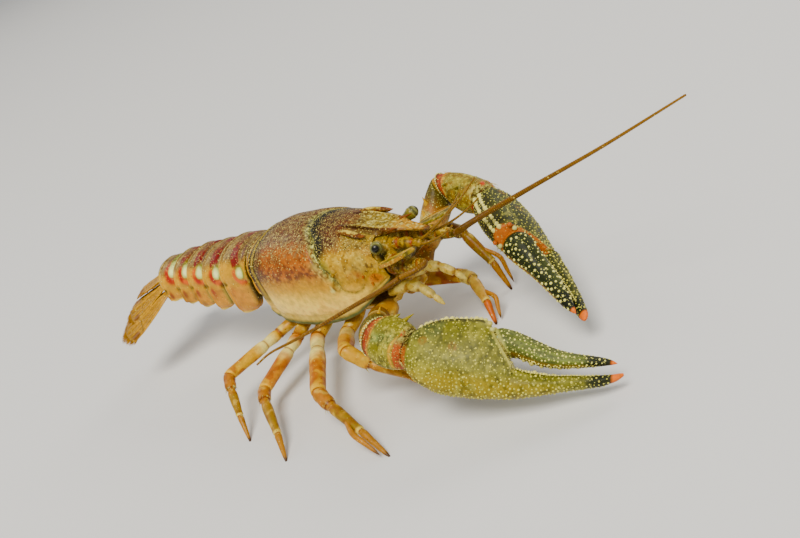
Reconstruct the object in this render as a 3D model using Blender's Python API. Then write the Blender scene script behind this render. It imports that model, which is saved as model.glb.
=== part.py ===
# Crayfish, a still life-size model in a walking stance, head towards +X, standing on z = 0.
# Lengths in the tables below are millimetres and are multiplied by MM when a mesh is made.
import math

import bmesh
import bpy
from mathutils import Vector

for old in list(bpy.data.objects):
    bpy.data.objects.remove(old, do_unlink=True)

MM = 0.001
CARAPACE_LENGTH = 46.0   # hind margin to tip of rostrum
GAP = 0.3                # clear space between two neighbouring bodies
HALF_GAP = GAP / 2
FLOOR_FLAT = 0.42        # radius of the flat a foot stands on
BELLY = 13.7             # level of the underside between the leg bases

parts = bpy.data.collections.new("crayfish")
bpy.context.scene.collection.children.link(parts)
joining = bpy.data.collections.new("joining")
bpy.context.scene.collection.children.link(joining)


def vec(x, y, z):
    return Vector((x, y, z))


def along(table, x):
    """Value at x of a table of (x, value) rows, on straight lines between the rows."""
    if x <= table[0][0]:
        return table[0][1]
    for (x0, v0), (x1, v1) in zip(table, table[1:]):
        if x <= x1:
            t = (x - x0) / (x1 - x0)
            return v0 + (v1 - v0) * t
    return table[-1][1]


def smooth(table, x):
    """Value at x of a table of (x, value) rows, on a curve through the rows."""
    last = len(table) - 1
    if x <= table[0][0]:
        return table[0][1]
    for i in range(last):
        x1, v1 = table[i]
        x2, v2 = table[i + 1]
        if x <= x2:
            x0, v0 = table[max(i - 1, 0)]
            x3, v3 = table[min(i + 2, last)]
            m1 = (v2 - v0) / (x2 - x0)
            m2 = (v3 - v1) / (x3 - x1)
            t = (x - x1) / (x2 - x1)
            h = x2 - x1
            a = (2 * t ** 3 - 3 * t ** 2 + 1) * v1 + (t ** 3 - 2 * t ** 2 + t) * h * m1
            b = (3 * t ** 2 - 2 * t ** 3) * v2 + (t ** 3 - t ** 2) * h * m2
            return a + b
    return table[-1][1]


def solid(name, points, faces, colour=None, roughness=0.5):
    """A closed mesh object from points in millimetres, faces turned outwards."""
    mesh = bpy.data.meshes.new(name)
    mesh.from_pydata([p * MM for p in points], [], faces)
    body = bmesh.new()
    body.from_mesh(mesh)
    bmesh.ops.recalc_face_normals(body, faces=body.faces)
    body.to_mesh(mesh)
    body.free()
    thing = bpy.data.objects.new(name, mesh)
    if colour is None:
        joining.objects.link(thing)
    else:
        parts.objects.link(thing)
        skin = bpy.data.materials.new(name)
        skin.use_nodes = True
        shader = skin.node_tree.nodes["Principled BSDF"]
        shader.inputs["Base Color"].default_value = (*colour, 1.0)
        shader.inputs["Roughness"].default_value = roughness
        skin.diffuse_color = (*colour, 1.0)
        mesh.materials.append(skin)
    return thing


def skin_rings(rings, tip_start=None, tip_end=None):
    """Points and faces of a body whose skin runs over closed rings of equal count."""
    count = len(rings[0])
    points = [p for ring in rings for p in ring]
    faces = []
    for i in range(len(rings) - 1):
        for j in range(count):
            k = (j + 1) % count
            faces.append((i * count + j, i * count + k, (i + 1) * count + k, (i + 1) * count + j))
    last = (len(rings) - 1) * count
    if tip_start is None:
        faces.append(tuple(reversed(range(count))))
    else:
        points.append(tip_start)
        for j in range(count):
            faces.append((len(points) - 1, (j + 1) % count, j))
    if tip_end is None:
        faces.append(tuple(last + j for j in range(count)))
    else:
        points.append(tip_end)
        for j in range(count):
            faces.append((last + j, last + (j + 1) % count, len(points) - 1))
    return points, faces


def ring(centre, normal, side, a, b, count=10, power=2.0):
    """An oval of half widths a (towards side) and b, in the plane square to normal."""
    n = normal.normalized()
    s = (side - n * side.dot(n)).normalized()
    t = n.cross(s)
    out = []
    for i in range(count):
        angle = 2 * math.pi * i / count
        c = math.cos(angle)
        d = math.sin(angle)
        c = math.copysign(abs(c) ** (2 / power), c)
        d = math.copysign(abs(d) ** (2 / power), d)
        out.append(centre + s * (a * c) + t * (b * d))
    return out


def lean(axis, joint, distance, radius):
    """Normal of a ring at some distance from a joint plane, leant so that rings never cross."""
    cosine = max(axis.dot(joint), 0.2)
    sideways = joint / cosine - axis
    slope = sideways.length
    if slope < 1e-6:
        return axis
    keep = max(0.0, slope - distance / (1.35 * radius))
    return (axis + sideways * (keep / slope)).normalized()


def limb(chain, side, stations, start_normal, end_normal, count=10, power=2.0):
    """Rings along a chain of points. Each station is (leg of the chain, share of its
    length, half width, half height). The end rings lie in the given joint planes."""
    rings = []
    last = len(stations) - 1
    for i, (leg, share, a, b) in enumerate(stations):
        p = chain[leg].lerp(chain[leg + 1], share)
        axis = (chain[leg + 1] - chain[leg]).normalized()
        n = axis
        if share == 0 and leg > 0:
            n = (n + (chain[leg] - chain[leg - 1]).normalized()).normalized()
        elif leg == 0 and start_normal is not None and i > 0:
            n = lean(axis, start_normal, (p - chain[0]).length, max(a, b))
        if leg == len(chain) - 2 and end_normal is not None and i < last and n == axis:
            n = lean(axis, end_normal, (chain[-1] - p).length, max(a, b))
        if i == 0 and start_normal is not None:
            n = start_normal
            p = p + n * HALF_GAP
        if i == last and end_normal is not None:
            n = end_normal
            p = p - n * HALF_GAP
        rings.append(ring(p, n, side, a, b, count, power))
    return rings


def halfway(a, b, c):
    """Normal of the joint plane at b of a chain that runs a, b, c."""
    return ((b - a).normalized() + (c - b).normalized()).normalized()


def spine(base, tip, radius, sides=6, sunk=0.8):
    """A pointed cone from base to tip, with its root sunk below the base."""
    d = (tip - base).normalized()
    side = vec(0, 0, 1) if abs(d.z) < 0.8 else vec(1, 0, 0)
    rings = [ring(base - d * sunk, d, side, radius, radius, sides)]
    rings.append(ring(base.lerp(tip, 0.45), d, side, radius * 0.62, radius * 0.62, sides))
    points, faces = skin_rings(rings, None, tip)
    return solid("spine", points, faces)


def bead(centre, out, radius, height, sides=6):
    """A low blunt tubercle standing on a surface, with its root sunk."""
    d = out.normalized()
    side = vec(0, 0, 1) if abs(d.z) < 0.8 else vec(1, 0, 0)
    rings = [ring(centre - d * 0.7, d, side, radius, radius, sides)]
    rings.append(ring(centre + d * height * 0.55, d, side, radius * 0.8, radius * 0.8, sides))
    points, faces = skin_rings(rings, None, centre + d * height)
    return solid("bead", points, faces)


def fuse(body, extra):
    """Join the pieces of the joining collection to a body and keep one closed surface."""
    join = body.modifiers.new("join", "BOOLEAN")
    join.operation = "UNION"
    join.operand_type = "COLLECTION"
    join.collection = joining
    join.solver = "EXACT"
    bpy.context.view_layer.update()
    graph = bpy.context.evaluated_depsgraph_get()
    joined = bpy.data.meshes.new_from_object(body.evaluated_get(graph))
    body.modifiers.remove(join)
    old_mesh = body.data
    body.data = joined
    joined.name = body.name
    bpy.data.meshes.remove(old_mesh)
    for piece in extra:
        bpy.data.objects.remove(piece, do_unlink=True)
    grid = bmesh.new()
    grid.from_mesh(joined)
    bmesh.ops.remove_doubles(grid, verts=grid.verts, dist=1e-7)
    bmesh.ops.triangulate(grid, faces=grid.faces)
    left = set(grid.verts)
    groups = []
    while left:
        seed = left.pop()
        group = {seed}
        front = [seed]
        while front:
            v = front.pop()
            for e in v.link_edges:
                w = e.other_vert(v)
                if w in left:
                    left.remove(w)
                    group.add(w)
                    front.append(w)
        groups.append(group)
    groups.sort(key=len)
    loose = [v for g in groups[:-1] for v in g]
    bmesh.ops.delete(grid, geom=loose, context="VERTS")
    bmesh.ops.recalc_face_normals(grid, faces=grid.faces)
    grid.to_mesh(joined)
    grid.free()
    return body


# Carapace
# The head and thorax shield: a shell of leaning sections whose rows follow the neck groove,
# with the rostrum, the ridges behind the eyes and the cheek spines fused on.
SHELL_TOP = [(0, 30.6), (4, 31.9), (10, 32.6), (15, 32.6), (20, 32.2), (26, 31.5), (31, 30.4), (36, 29.2)]
SHELL_HALF = [(0, 9.3), (4, 10.2), (10, 10.7), (17, 10.6), (23, 10.0), (28, 9.1), (32, 8.2), (36, 6.9)]
SHELL_LOW = [(-1.2, 14.8), (0, 13.4), (2, 12.3), (5, 11.9), (9, 11.7), (13, 11.6), (18, 12.0), (23, 13.0), (28, 15.1), (32, 17.7), (36, 20.3)]
SHELL_SIDE = 25.0        # level of the greatest width
LEAN = [(0, -1.2), (4, 0.6), (10, 5.0), (15.5, 10.0), (36, 0)]
LEAN_SHARE = [(0, 0), (20, 0.06), (38, 0.23), (62, 0.42), (85, 0.52), (98, 0.61), (110, 0.71), (120, 0.86), (130, 1.0)]
SHELL_ROWS = [0, 1.2, 4, 8, 12, 14.4, 15.1, 15.9, 16.6, 19, 22.5, 26, 29.5, 32.5, 34.6, 36]
GROOVE_ROWS = (15.1, 15.9)
SHELL_ANGLES = [0, 15, 30, 45, 60, 74, 88, 102, 116, 130]
GROOVE_DEPTH = 0.75
ORBIT_NOTCH = [(0, 1.6), (30, 1.6), (60, 1.6), (74, 1.3), (88, 0.6), (102, 0), (130, 0)]


def shell_point(x, angle):
    """Point on the planar section of the shield at x, angle in degrees from the back."""
    top = smooth(SHELL_TOP, x)
    half = smooth(SHELL_HALF, x)
    low = smooth(SHELL_LOW, x)
    s = math.sin(math.radians(angle))
    c = math.cos(math.radians(angle))
    if angle <= 90:
        y = half * abs(s) ** (2 / 2.05)
        z = SHELL_SIDE + (top - SHELL_SIDE) * abs(c) ** (2 / 2.05)
        return y, z
    share = (angle - 90) / 40
    y = half * (1 - 0.13 * share ** 2)
    z = SHELL_SIDE + (low - SHELL_SIDE) * min(share, 1.0)
    return y, z


def shell_row(s):
    """Half of one row of the shield, from the middle of the back to the middle of the belly."""
    row = []
    for angle in SHELL_ANGLES:
        x = s + along(LEAN, s) * smooth(LEAN_SHARE, angle)
        x -= along(ORBIT_NOTCH, angle) * max(0.0, s - 31) / 5
        y, z = shell_point(x, angle)
        if s in GROOVE_ROWS and angle < 120:
            inward = vec(0, y, (z - 22) * 1.2).normalized()
            y -= inward.y * GROOVE_DEPTH
            z -= inward.z * GROOVE_DEPTH
        row.append(vec(x, y, z))
    x = row[-1].x
    y = row[-1].y
    z = row[-1].z
    floor = max(BELLY, z + 1.2)
    row.append(vec(x, y - 1.1, z + 0.1))
    row.append(vec(x, y - 2.0, floor))
    row.append(vec(x, (y - 2.0) / 2, floor))
    row.append(vec(x, 0, floor))
    return row


rows = []
for s in SHELL_ROWS:
    half_row = shell_row(s)
    other = [vec(p.x, -p.y, p.z) for p in reversed(half_row[1:-1])]
    rows.append(half_row + other)
rows.insert(0, [vec(0.2, p.y * 0.88, 24.0 + (p.z - 24.0) * 0.86) for p in rows[0]])
front = rows[-1]
rows.append([vec(34.2, p.y * 0.86, 25.4 + (p.z - 25.4) * 0.84) for p in front])
points, faces = skin_rings(rows)
carapace = solid("carapace", points, faces, (0.50, 0.24, 0.12), 0.35)

blade = []
for x, half, z, rim, low in [
    (24.5, 2.6, 31.4, 0.2, 1.6), (29.0, 3.1, 30.7, 0.9, 2.2), (34.0, 2.9, 29.7, 0.9, 1.7),
    (38.6, 2.5, 28.9, 0.7, 1.2), (39.4, 1.9, 28.75, 0.5, 1.1), (42.5, 1.15, 28.2, 0.35, 0.9),
    (45.3, 0.5, 27.9, 0.15, 0.5),
]:
    blade.append([
        vec(x, -half, z), vec(x, -half * 0.9, z + rim), vec(x, -half * 0.55, z + rim * 0.45),
        vec(x, 0, z + rim * 0.3), vec(x, half * 0.55, z + rim * 0.45), vec(x, half * 0.9, z + rim),
        vec(x, half, z), vec(x, half * 0.5, z - low * 0.6), vec(x, 0, z - low), vec(x, -half * 0.5, z - low * 0.6),
    ])
points, faces = skin_rings(blade, None, vec(CARAPACE_LENGTH, 0, 28.0))
extra = [solid("rostrum", points, faces)]
for side in (-1, 1):
    extra.append(spine(vec(37.8, side * 2.2, 29.2), vec(40.4, side * 2.75, 29.8), 0.55, 6, 0.9))
    extra.append(spine(vec(27.0, side * 4.6, 31.0), vec(33.4, side * 5.2, 30.0), 0.75, 6, 0.6))
    extra.append(spine(vec(24.6, side * 9.9, 24.0), vec(26.0, side * 11.4, 24.4), 0.6))
    extra.append(spine(vec(33.2, side * 7.5, 22.2), vec(34.6, side * 9.2, 22.4), 0.5))
    extra.append(spine(vec(32.2, side * 7.8, 20.4), vec(33.6, side * 9.4, 20.3), 0.5))
    extra.append(spine(vec(31.0, side * 8.2, 22.4), vec(32.2, side * 9.9, 22.6), 0.5))
fuse(carapace, extra)


# Thorax
# The breast plate under the shield with the ten stub-like hip joints that carry the legs.
HIPS = [(29.5, 8.0, 12.2, 2.3), (20.0, 9.8, 9.4, 1.6), (11.2, 10.5, 8.8, 1.6), (4.8, 10.5, 8.8, 1.45), (-1.2, 10.2, 9.6, 1.3)]
breast = []
for x, half, low in [(1.6, 2.6, 11.8), (5, 4.4, 10.6), (12, 5.0, 10.0), (20, 5.0, 10.2), (27, 4.6, 10.8), (31, 3.4, 12.0)]:
    z = BELLY - GAP
    breast.append([
        vec(x, -half, z), vec(x, 0, z), vec(x, half, z), vec(x, half * 0.9, (z + low) / 2 + 0.2),
        vec(x, half * 0.45, low), vec(x, 0, low + 0.5), vec(x, -half * 0.45, low), vec(x, -half * 0.9, (z + low) / 2 + 0.2),
    ])
points, faces = skin_rings(breast)
thorax = solid("thorax", points, faces, (0.72, 0.50, 0.28), 0.45)


# Legs and chelipeds share these joint points: hip, knee, ankle of the last segment, foot.
# The first point of a chain is inside the breast plate.
def hip_chain(number, side):
    x, y, z, radius = HIPS[number]
    return vec(max(x, 2.6), side * 3.2, 11.2 if number else 11.9), vec(x, side * y, z), radius


LEG_POINTS = {
    ("2", -1): (vec(31.4, -21.6, 13.6), vec(34.6, -20.4, 9.8), vec(42.0, -17.0, 3.8), vec(46.0, -15.0, 0)),
    ("3", -1): (vec(25.0, -27.6, 7.8), vec(29.2, -29.6, 6.4), vec(39.1, -33.4, 3.6), vec(45.9, -35.6, 0)),
    ("4", -1): (vec(5.3, -25.2, 5.8), vec(8.2, -28.4, 5.6), vec(17.2, -35.6, 3.2), vec(21.2, -39.6, 0)),
    ("5", -1): (vec(-4.0, -25.2, 9.3), vec(-1.4, -28.0, 8.0), vec(3.0, -32.2, 4.2), vec(6.0, -35.0, 0)),
    ("2", 1): (vec(35.2, 14.2, 7.2), vec(38.6, 12.8, 7.0), vec(43.6, 8.6, 4.0), vec(46.0, 5.8, 0)),
    ("3", 1): (vec(29.1, 22.4, 14.8), vec(32.8, 22.5, 13.0), vec(39.0, 20.6, 6.0), vec(42.4, 18.8, 0)),
    ("4", 1): (vec(6.0, 25.0, 12.4), vec(4.6, 28.4, 10.4), vec(1.4, 32.6, 4.6), vec(0.0, 34.0, 0)),
    ("5", 1): (vec(-5.0, 21.0, 11.4), vec(-8.0, 23.0, 9.6), vec(-13.6, 25.4, 4.0), vec(-16.0, 26.0, 0)),
}
CLAW_POINTS = {
    -1: (vec(41.5, -21.8, 17.5), vec(50.8, -23.8, 16.0), vec(86.5, -14.4, 3.0), vec(-0.1, 0.75, 0.65)),
    1: (vec(32.5, 23.0, 24.8), vec(45.1, 20.0, 22.3), vec(73.9, -1.4, 5.9), vec(-0.06, -0.68, 0.73)),
}

extra = []
for number in range(5):
    for side in (-1, 1):
        root, hip, radius = hip_chain(number, side)
        if number == 0:
            knee = CLAW_POINTS[side][0]
        else:
            knee = LEG_POINTS[(str(number + 1), side)][0]
        n = halfway(root, hip, knee)
        rings = [ring(root, hip - root, vec(1, 0, 0), radius * 0.8, radius * 0.8, 10)]
        rings.append(ring(root.lerp(hip, 0.55), hip - root, vec(1, 0, 0), radius * 1.1, radius * 0.98, 10))
        rings.append(ring(hip - n * HALF_GAP, n, vec(1, 0, 0), radius, radius, 10))
        points, faces = skin_rings(rings)
        extra.append(solid("hip", points, faces))
for side in (-1, 1):
    stylet = [vec(1.0, side * 1.5, 12.2), vec(3.0, side * 1.3, 10.6), vec(6.0, side * 0.9, 9.9), vec(9.6, side * 0.7, 9.9)]
    rings = [ring(p, vec(1, 0, 0), vec(0, 1, 0), r, r, 6) for p, r in zip(stylet, (0.85, 0.75, 0.6, 0.5))]
    points, faces = skin_rings(rings, None, vec(11.4, side * 0.6, 10.2))
    extra.append(solid("stylet", points, faces))
fuse(thorax, extra)


# Walking legs
# Four pairs. Each leg is a long upper segment, a lower segment with its wrist, and a pointed
# last segment whose tip is cut flat on the floor.
for (number, side), (knee, wrist, ankle, foot) in LEG_POINTS.items():
    root, hip, radius = hip_chain(int(number) - 1, side)
    tag = number + ("r" if side < 0 else "l")
    colour = (0.78, 0.42, 0.12)
    across = (knee - hip).cross(foot - knee).normalized()
    n_hip = halfway(root, hip, knee)
    n_knee = halfway(hip, knee, wrist)
    n_ankle = halfway(wrist, ankle, foot)
    r = radius
    rings = limb([hip, knee], across, [
        (0, 0, r * 0.98, r * 0.98), (0, 0.10, r * 1.05, r * 1.02), (0, 0.24, r * 0.86, r * 0.92),
        (0, 0.34, r * 0.94, r * 1.12), (0, 0.70, r * 0.92, r * 1.1), (0, 0.90, r * 0.9, r * 1.0), (0, 1, r * 0.84, r * 0.9),
    ], n_hip, n_knee)
    points, faces = skin_rings(rings)
    solid("leg" + tag + ".upper", points, faces, colour, 0.4)
    rings = limb([knee, wrist, ankle], across, [
        (0, 0, r * 0.82, r * 0.86), (0, 0.45, r * 0.9, r * 0.95), (1, 0, r * 0.84, r * 0.86),
        (1, 0.12, r * 0.66, r * 0.72), (1, 0.45, r * 0.66, r * 0.74), (1, 0.85, r * 0.52, r * 0.58), (1, 1, r * 0.5, r * 0.52),
    ], n_knee, n_ankle)
    points, faces = skin_rings(rings)
    lower = solid("leg" + tag + ".lower", points, faces, colour, 0.4)
    if number in "23":
        shin = (ankle - wrist).normalized()
        beside = across.cross(shin).normalized()
        if beside.dot(foot - ankle) > 0:
            beside = -beside
        reach = (foot - ankle).length
        aim = (foot - ankle).normalized()
        beside = (beside - aim * beside.dot(aim)).normalized()
        start = ankle - shin * (reach * 0.5) + beside * (r * 0.5)
        middle = ankle + beside * (r * 0.48 * 2 + GAP * 1.6)
        end = ankle + aim * (reach * 0.86) + beside * (r * 0.42 + GAP + 0.4)
        rings = [ring(start, middle - start, across, r * 0.3, r * 0.3, 8)]
        rings.append(ring(middle, end - start, across, r * 0.4, r * 0.34, 8))
        rings.append(ring(middle.lerp(end, 0.6), end - middle, across, r * 0.3, r * 0.24, 8))
        points, faces = skin_rings(rings, None, end)
        fuse(lower, [solid("fixed finger", points, faces)])
    rings = limb([ankle, foot], across, [
        (0, 0, r * 0.48, r * 0.5), (0, 0.3, r * 0.46, r * 0.46), (0, 0.75, r * 0.32, r * 0.32),
    ], n_ankle, None)
    rings.append(ring(foot, vec(0, 0, -1), across, FLOOR_FLAT, FLOOR_FLAT, 10))
    points, faces = skin_rings(rings)
    solid("leg" + tag + ".tip", points, faces, colour, 0.4)


# Chelipeds
# The two great claws: upper arm, wrist block, palm with its fixed finger, movable finger.
# In a claw, u runs from the wrist to the tip, v across towards the movable finger and t up
# from the middle plane. A table row is u and the value there.
CLAW_LENGTH = 38.6
PALM_UPPER = [(0, 2.6), (1.6, 4.3), (3.2, 5.2), (6, 6.3), (9, 6.8), (13.6, 7.0), (16, 6.5), (20, 5.0)]
PALM_LOWER = [(0, -3.0), (1.6, -4.9), (5, -6.8), (10, -7.4), (15, -7.2), (20, -6.4), (24.7, -5.2), (28.7, -3.9), (33, -2.7), (36.3, -1.5), (38, -0.4)]
FINGER_UPPER = [(20, -0.9), (21.3, -1.2), (24.1, -1.35), (27.3, -1.3), (30.9, -0.8), (34.8, -0.15), (37.3, 0.4), (38, 0.55)]
PALM_THICK = [(0, 2.6), (2, 3.6), (7, 4.3), (12, 4.2), (16, 3.6), (20.8, 2.7), (27.8, 2.0), (34.8, 1.1), (38, 0.5)]
BEADS = 12                    # tubercles in each of the two rows along the palm
JOINT_TOP = (13.9, 6.9)       # u and v of the slanting joint of the movable finger
JOINT_FOOT = (19.8, -0.9)
MOVING = [
    ((15.35, 5.5), (18.95, 0.9), 3.0), ((16.5, 5.95), (19.4, 1.0), 3.1), ((18.3, 5.8), (20.3, 0.95), 2.9),
    ((21, 5.2), (22, 0.6), 2.5), ((24, 4.2), (24.2, 0.1), 2.1), ((27, 3.4), (27, 0.1), 1.8),
    ((30, 3.1), (30, 0.55), 1.5), ((33, 3.05), (33, 1.1), 1.15), ((35.6, 2.95), (35.6, 1.7), 0.75),
    ((36.8, 2.65), (36.8, 2.05), 0.4),
]
FIXED_TEETH = [(21.9, 0.4), (23.5, 0.55), (25.2, 0.42), (26.8, 0.45), (28.4, 0.36), (29.9, 0.36), (31.4, 0.3), (32.9, 0.28)]
MOVING_TEETH = [(21.2, 0.4), (22.7, 0.58), (24.5, 0.42), (26.1, 0.36), (27.7, 0.36), (29.3, 0.3), (30.9, 0.28)]
for side, (elbow, wrist, tip, width_hint) in CLAW_POINTS.items():
    tag = "r" if side < 0 else "l"
    root, hip, radius = hip_chain(0, side)
    a = (tip - wrist).normalized()
    w = (width_hint - a * width_hint.dot(a)).normalized()
    n = a.cross(w)
    if n.z < 0:
        n = -n
    n_hip = halfway(root, hip, elbow)
    n_elbow = halfway(hip, elbow, wrist)
    n_wrist = halfway(elbow, wrist, tip)
    green = (0.30, 0.30, 0.16)
    arm_way = (elbow - hip).normalized()
    arm_up = (w - arm_way * w.dot(arm_way)).normalized()
    rings = limb([hip, elbow], w, [
        (0, 0, 2.25, 2.25), (0, 0.12, 2.5, 2.35), (0, 0.26, 2.15, 2.1), (0, 0.36, 2.6, 2.3),
        (0, 0.7, 3.5, 2.9), (0, 0.9, 3.6, 3.1), (0, 1, 3.1, 2.8),
    ], n_hip, n_elbow, 12)
    points, faces = skin_rings(rings)
    arm = solid("cheliped." + tag + ".arm", points, faces, (0.55, 0.35, 0.18), 0.45)
    extra = []
    for share, out, length in [(0.62, 3.2, 1.2), (0.74, 3.5, 1.7)]:
        base = hip.lerp(elbow, share) + arm_up * out
        extra.append(spine(base, base + (arm_way * 0.6 + arm_up) * length, 0.5, 5, 1.2))
    fuse(arm, extra)
    rings = limb([elbow, wrist], w, [
        (0, 0, 3.1, 2.8), (0, 0.2, 4.4, 3.7), (0, 0.55, 4.9, 4.1), (0, 0.85, 4.1, 3.6), (0, 1, 3.2, 2.9),
    ], n_elbow, n_wrist, 12)
    points, faces = skin_rings(rings)
    block = solid("cheliped." + tag + ".wrist", points, faces, green, 0.45)
    block_way = (wrist - elbow).normalized()
    block_up = (w - block_way * w.dot(block_way)).normalized()
    extra = []
    for share, out, length in [(0.35, 4.7, 1.1), (0.62, 4.7, 1.9)]:
        base = elbow.lerp(wrist, share) + block_up * out
        extra.append(spine(base, base + (block_way * 0.9 + block_up) * length, 0.55, 5, 1.2))
    fuse(block, extra)

    stretch = (tip - wrist).length / CLAW_LENGTH
    drop = (JOINT_FOOT[1] - JOINT_TOP[1]) / (JOINT_FOOT[0] - JOINT_TOP[0])

    def claw_point(u, v, t):
        return wrist + a * (u * stretch) + w * v + n * t

    def claw_ring(top, foot, thick, count, power, ceiling=None):
        """An oval between two (u, v) points, no higher in v than ceiling."""
        out = []
        for k in range(count):
            angle = 2 * math.pi * k / count
            c = math.copysign(abs(math.cos(angle)) ** (2 / power), math.cos(angle))
            d = math.copysign(abs(math.sin(angle)) ** (2 / power), math.sin(angle))
            u = (top[0] + foot[0]) / 2 + (top[0] - foot[0]) / 2 * c
            v = (top[1] + foot[1]) / 2 + (top[1] - foot[1]) / 2 * c
            if ceiling is not None:
                v = min(v, ceiling)
            out.append(claw_point(u, v, thick * d))
        return out

    rings = []
    first = (smooth(PALM_UPPER, 0) + smooth(PALM_LOWER, 0)) / 2
    centre = wrist + w * first
    centre = centre + n_wrist * (HALF_GAP - n_wrist.dot(centre - wrist))
    rings.append(ring(centre, n_wrist, w, smooth(PALM_UPPER, 0) - first, smooth(PALM_THICK, 0), 14, 2.2))
    if (rings[0][3] - centre).dot(n) < 0:
        rings[0] = [rings[0][0]] + list(reversed(rings[0][1:]))
    for u in [1.6, 4, 7.5, 11, JOINT_TOP[0], 15.4, 16.9, 18.4, JOINT_FOOT[0], 20.1, 22.5, 26, 30, 34, 36.6, 38]:
        low = (u, smooth(PALM_LOWER, u))
        thick = smooth(PALM_THICK, u)
        if u <= JOINT_FOOT[0]:
            ceiling = JOINT_TOP[1] + (u - JOINT_TOP[0]) * drop
            rings.append(claw_ring((u, smooth(PALM_UPPER, u)), low, thick, 14, 2.2, ceiling))
        else:
            rings.append(claw_ring((u, smooth(FINGER_UPPER, u)), low, thick, 14, 2.2))
    points, faces = skin_rings(rings, None, claw_point(CLAW_LENGTH, 0.6, 0))
    palm = solid("cheliped." + tag + ".palm", points, faces, green, 0.45)
    extra = []
    for k in range(BEADS):
        u = 1.8 + (JOINT_TOP[0] - 2.6) * k / (BEADS - 1)
        for t in (-0.8, 0.8):
            v = smooth(PALM_UPPER, u + 0.3 * t) - 0.15
            size = 0.5 - 0.07 * (k % 2)
            extra.append(bead(claw_point(u + 0.3 * t, v, t), w + n * (0.3 * t), size, size, 5))
    for u, radius in FIXED_TEETH:
        extra.append(bead(claw_point(u, smooth(FINGER_UPPER, u) - 0.1, 0), w, radius, radius + 0.15, 5))
    fuse(palm, extra)

    rings = [claw_ring(top, foot, thick, 12, 2.1) for top, foot, thick in MOVING]
    points, faces = skin_rings(rings, None, claw_point(37.4, 2.3, 0))
    finger = solid("cheliped." + tag + ".finger", points, faces, green, 0.45)
    lower_edge = [foot for top, foot, thick in MOVING]
    extra = []
    for u, radius in MOVING_TEETH:
        extra.append(bead(claw_point(u, along(lower_edge, u) + 0.1, 0), -w, radius, radius + 0.15, 5))
    fuse(finger, extra)


# Abdomen
# Six ring-like tail segments with hanging side plates, in line with the body and turned a
# little to the right. Each row: length, turn, pitch, half width, height, side plate, belly.
SOMITES = [
    (3.8, 0, 2, 7.7, 5.7, 4.8, 3.4), (9.2, 2, 2, 8.7, 5.8, 8.9, 3.6), (6.4, 4, 1, 8.5, 5.2, 7.6, 3.5),
    (5.8, 6, 1, 8.0, 4.8, 6.6, 3.3), (5.4, 9, 2, 7.2, 4.4, 5.4, 3.0), (5.8, 12, 4, 6.2, 4.0, 3.9, 2.6),
]
TAIL_ROOT = vec(-0.15, 0, 23.6)
SIDE_PLATE_SWEEP = 1.8


def heading(turn, pitch):
    """Unit vector backwards, turned to the right and pitched down by degrees."""
    t = math.radians(turn)
    p = math.radians(pitch)
    return vec(-math.cos(t) * math.cos(p), -math.sin(t) * math.cos(p), -math.sin(p))


directions = [heading(row[1], row[2]) for row in SOMITES]
directions.append(heading(13, 14))
tail_line = [TAIL_ROOT]
for row, d in zip(SOMITES, directions):
    tail_line.append(tail_line[-1] + d * row[0])
for i, (length, turn, fall, half, up, down, belly) in enumerate(SOMITES):
    start = tail_line[i]
    end = tail_line[i + 1]
    n_start = (directions[i - 1] + directions[i]).normalized() if i else vec(-1, 0, 0)
    n_end = (directions[i] + directions[i + 1]).normalized()
    rings = []
    for share, wide, tall, drop in [(0, 0.93, 0.93, 0.62), (0.14, 0.97, 0.97, 0.86), (0.4, 0.99, 0.99, 1.0), (0.74, 1.0, 1.0, 0.98), (0.92, 1.0, 1.0, 0.8), (1, 0.96, 0.96, 0.6)]:
        n = directions[i]
        p = start.lerp(end, share)
        if share == 0:
            n = n_start
            p = p + n * HALF_GAP
        if share == 1:
            n = n_end
            p = p - n * HALF_GAP
        across = n.cross(vec(0, 0, 1)).normalized()
        if across.y < 0:
            across = -across
        t = n.cross(across).normalized()
        if t.z < 0:
            t = -t
        w = half * wide
        h = up * tall
        d = max(down * drop, belly + 0.5)
        outline = [
            (0, h), (0.36 * w, 0.95 * h), (0.67 * w, 0.76 * h), (0.88 * w, 0.42 * h), (0.98 * w, -0.05 * h),
            (1.0 * w, -0.4 * h), (0.93 * w, -d), (0.83 * w, -d), (0.74 * w, -belly), (0.36 * w, -belly - 0.4), (0, -belly - 0.4),
        ]
        sweep = directions[i] * (SIDE_PLATE_SWEEP * (d - belly) / 5 * math.sin(math.pi * share))
        ring_points = [p + across * y + t * z + (sweep if z == -d else vec(0, 0, 0)) for y, z in outline]
        ring_points += [p - across * y + t * z + (sweep if z == -d else vec(0, 0, 0)) for y, z in reversed(outline[1:-1])]
        rings.append(ring_points)
    points, faces = skin_rings(rings)
    somite = solid("abdomen.%d" % (i + 1), points, faces, (0.62, 0.36, 0.20), 0.4)
    if 0 < i < 5:
        extra = []
        for side in (-1, 1):
            hang = (directions[i] * 0.75 - vec(0, 0, 0.66)).normalized()
            hang = (hang + vec(0, side * 0.12, 0)).normalized()
            base = start.lerp(end, 0.3) - vec(0, 0, belly + 0.4) + vec(0, side * half * 0.36, 0)
            paddle = [(-0.9, 0.5, 0.35), (0.7, 0.6, 0.35), (2.6, 1.15, 0.3), (4.6, 0.7, 0.25)]
            rings = [ring(base + hang * d, hang, vec(0, 1, 0), wide, thick, 8) for d, wide, thick in paddle]
            points, faces = skin_rings(rings, None, base + hang * 5.2)
            extra.append(solid("swimmeret", points, faces))
        fuse(somite, extra)


# Tail fan
# Telson and two pairs of blades, each with raised rays. The blades lie one below the other
# and droop to both sides, so that the fan is arched like a roof.
FAN = tail_line[-1]


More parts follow.
